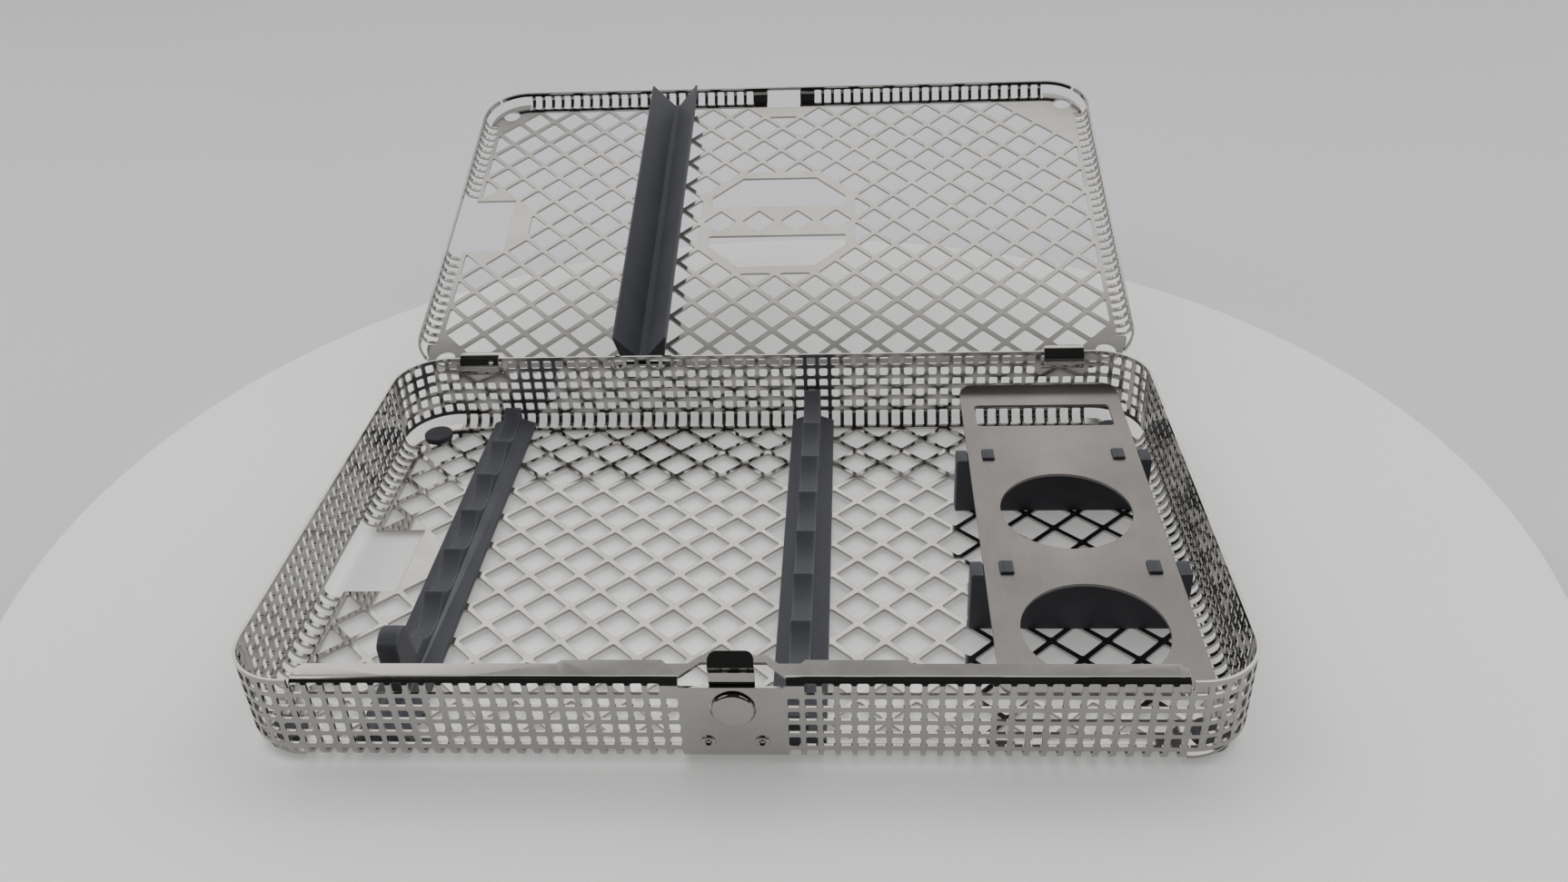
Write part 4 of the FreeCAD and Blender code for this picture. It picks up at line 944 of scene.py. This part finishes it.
def base_tray(middle, underside):
    """The base, drawn from its middle and underside and moved to its place."""
    shape = bmesh.new()
    add_plate(shape, plate_outline(), [cell(i, j, half) for i, j, half in lattice_places()] + foot_holes())
    front_side(shape)
    back_side(shape)
    side_wall(shape, "right", BASE_HEIGHT, rows())
    side_wall(shape, "left", BASE_HEIGHT, rows())
    base_corners(shape)
    stand_in("base_tray", shape, Matrix.Translation((0, middle, underside)))


def lid_tray():
    """The lid, drawn as a shallow tray on its back and carried to its open place at the hinge."""
    shape = bmesh.new()
    holes = lid_windows() + foot_holes()
    for i, j, half in lattice_places():
        keep = lid_half(i, j, half)
        if keep != "none":
            holes.append(cell(i, j, keep))
    add_plate(shape, plate_outline(LATCH_WINDOW_HALF), holes)
    rear = [bend_slot(u) for u in long_columns() if not near_hook(u, 0)]
    add_strip(shape, "front", strip_outline(LONG_HALF + RIB_HALF, LID_HEIGHT), rear)
    low = wall_length(LID_HEIGHT - LATCH_WINDOW_RIM)
    half = LATCH_WINDOW_HALF
    wide = LONG_HALF + RIB_HALF
    top = wall_length(LID_HEIGHT)
    rim = [(half, 0), (wide, 0), (wide, top), (-wide, top), (-wide, 0)]
    outline = rim + [(-half, 0), (-half, low), (half, low)]
    front = [bend_slot(u) for u in long_columns() if abs(u) > PLAIN_HALF]
    add_strip(shape, "back", outline, front)
    side_wall(shape, "right", LID_HEIGHT, [])
    side_wall(shape, "left", LID_HEIGHT, [])
    lid_corners(shape)
    hinge_y = TRAY_HALF_DEPTH + HINGE_SETBACK
    joint = next(joint for joint in frame["joints"] if joint["name"] == "lid_hinge")
    hinge = Vector(joint["pos_m"])
    tilt = math.pi - math.radians(joint["range_deg"][1])
    to_hinge = Matrix.Translation((0, hinge_y * MM, -LID_BACK_HEIGHT * MM))
    matrix = Matrix.Translation(hinge) @ Matrix.Rotation(tilt, 4, "X") @ to_hinge
    stand_in("lid_tray", shape, matrix)


def add_turned(target, profile, place, steps=40):
    """Adds a solid turned about the Y axis from (radius, depth) points, its first and last on the axis."""
    rings = []
    for radius, depth in profile:
        if radius == 0:
            rings.append([target.verts.new(place + Vector((0, depth, 0)))])
            continue
        ring = circle(0, 0, radius, steps)
        rings.append([target.verts.new(place + Vector((x, depth, z))) for x, z in ring])
    for first, second in zip(rings, rings[1:]):
        for k in range(steps):
            near = [first[k % len(first)], first[(k + 1) % len(first)]]
            far = [second[(k + 1) % len(second)], second[k % len(second)]]
            target.faces.new(list(dict.fromkeys(near + far)))


def latch_rivets():
    """Both rivets: a rolled head with a dimple outside, the shank, and a flat head inside."""
    low, high = (Vector(corner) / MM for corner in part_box("latch_rivets"))
    radius = (high.z - low.z) / 2
    depth = high.y - low.y
    shank = RIVET_SHANK_RADIUS
    head = RIVET_HEAD_HEIGHT
    profile = [(radius * across, head * inward) for across, inward in RIVET_HEAD]
    profile += [
        (shank, head),
        (shank, depth - head),
        (radius, depth - head),
        (radius, depth - head * RIVET_INNER_CHAMFER),
        (radius * RIVET_INNER_FACE, depth),
        (0, depth),
    ]
    shape = bmesh.new()
    for x in (low.x + radius, high.x - radius):
        add_turned(shape, profile, Vector((x, low.y, (low.z + high.z) / 2)))
    stand_in("latch_rivets", shape, Matrix.Identity(4))


def turntable(middle_y):
    """Round white table that the basket stands on."""
    place = (TURNTABLE_RIGHT_OF_MIDDLE, middle_y + TURNTABLE_BEHIND_MIDDLE, -TURNTABLE_THICKNESS / 2)
    bpy.ops.mesh.primitive_cylinder_add(
        vertices=256, radius=TURNTABLE_RADIUS, depth=TURNTABLE_THICKNESS, location=place,
    )
    table = bpy.context.object
    table.name = "turntable"
    white = painted("table_white", *TABLE_PAINT, roughness=0.55)
    table.data.materials.append(evenly_lit(white, TABLE_TONE))
    bevel = table.modifiers.new("rim", "BEVEL")
    bevel.width = TURNTABLE_RIM
    bevel.segments = 4


def floor():
    bpy.ops.mesh.primitive_circle_add(
        vertices=128, radius=FLOOR_RADIUS, fill_type="NGON", location=(0, 0, -TURNTABLE_THICKNESS),
    )
    plane = bpy.context.object
    plane.name = "floor"
    pale = painted("floor_pale", *FLOOR_PAINT, roughness=0.9)
    plane.data.materials.append(evenly_lit(pale, WALL_TONE))


def world():
    """Plain wall for the eye, and for the steel a room with a banded backdrop, dark on the near side."""
    space = bpy.data.worlds.new("studio")
    space.use_nodes = True
    bpy.context.scene.world = space
    tree = space.node_tree
    tree.nodes.clear()
    out = tree.nodes.new("ShaderNodeOutputWorld")
    plain = tree.nodes.new("ShaderNodeBackground")
    plain.inputs["Color"].default_value = WALL_TONE
    room = tree.nodes.new("ShaderNodeBackground")
    place = tree.nodes.new("ShaderNodeTexCoord")
    split = tree.nodes.new("ShaderNodeSeparateXYZ")
    link(tree, place, "Generated", split, "Vector")
    height = tree.nodes.new("ShaderNodeValToRGB")
    link(tree, split, "Z", height, "Fac")
    bands = height.color_ramp.elements
    bands[0].position, bands[0].color = BACKDROP_BANDS[0][0], grey(BACKDROP_BANDS[0][1])
    bands[1].position, bands[1].color = BACKDROP_BANDS[-1][0], grey(BACKDROP_BANDS[-1][1])
    for position, tone in BACKDROP_BANDS[1:-1]:
        bands.new(position).color = grey(tone)
    toward = tree.nodes.new("ShaderNodeVectorMath")
    toward.operation = "DOT_PRODUCT"
    toward.inputs[1].default_value = ROOM_TOWARD
    link(tree, place, "Generated", toward, 0)
    dark = tree.nodes.new("ShaderNodeMapRange")
    dark.inputs["From Min"].default_value = ROOM_DARK_FROM
    dark.inputs["From Max"].default_value = ROOM_LIT_FROM
    dark.inputs["To Min"].default_value = ROOM_LEAST
    link(tree, toward, "Value", dark, "Value")
    tree.links.new(dark.outputs["Result"], room.inputs["Strength"])
    link(tree, height, "Color", room, "Color")
    path = tree.nodes.new("ShaderNodeLightPath")
    seen = tree.nodes.new("ShaderNodeMath")
    seen.operation = "MAXIMUM"
    tree.links.new(path.outputs["Is Camera Ray"], seen.inputs[0])
    tree.links.new(path.outputs["Is Transmission Ray"], seen.inputs[1])
    mix = tree.nodes.new("ShaderNodeMixShader")
    tree.links.new(seen.outputs["Value"], mix.inputs["Fac"])
    tree.links.new(room.outputs["Background"], mix.inputs[1])
    tree.links.new(plain.outputs["Background"], mix.inputs[2])
    tree.links.new(mix.outputs["Shader"], out.inputs["Surface"])


def lamp(name, place, aim, size, power, mirrored):
    data = bpy.data.lights.new(name, "AREA")
    data.shape = "RECTANGLE"
    data.size, data.size_y = size
    data.energy = power
    light = bpy.data.objects.new(name, data)
    light.location = place
    light.rotation_mode = "QUATERNION"
    light.rotation_quaternion = (Vector(aim) - Vector(place)).to_track_quat("-Z", "Y")
    light.visible_camera = False
    light.visible_glossy = mirrored
    bpy.context.scene.collection.objects.link(light)


def lights(middle_y):
    for name, (x, y, z), size, power, mirrored in LAMPS:
        lamp(name, (x, middle_y + y, z), (0, middle_y, 0), size, power, mirrored)


def camera(base_low):
    data = bpy.data.cameras.new("photo_view")
    data.sensor_width = 36
    data.lens = data.sensor_width * FOCAL_PIXELS / IMAGE_WIDTH
    view = bpy.data.objects.new("photo_view", data)
    bpy.context.scene.collection.objects.link(view)
    back = -CAMERA_LOOK.normalized()
    right = (CAMERA_RIGHT - back * CAMERA_RIGHT.dot(back)).normalized()
    up = back.cross(right)
    place = Vector((CAMERA_RIGHT_OF_MIDDLE, base_low.y - CAMERA_IN_FRONT, base_low.z + CAMERA_ABOVE))
    turn = Matrix((right, up, back)).transposed().to_4x4()
    view.matrix_world = Matrix.Translation(place) @ turn
    bpy.context.scene.camera = view


def main():
    low, high = (Vector(corner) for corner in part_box("base_tray"))
    middle_y = (low.y + high.y) / 2
    finish_nodes()
    for name in SOFT_PIECES:
        softened(name)
    base_tray(middle_y, low.z)
    lid_tray()
    latch_rivets()
    turntable(middle_y)
    floor()
    world()
    lights(middle_y)
    camera(low)
    bpy.context.scene.view_settings.view_transform = "Standard"


main()
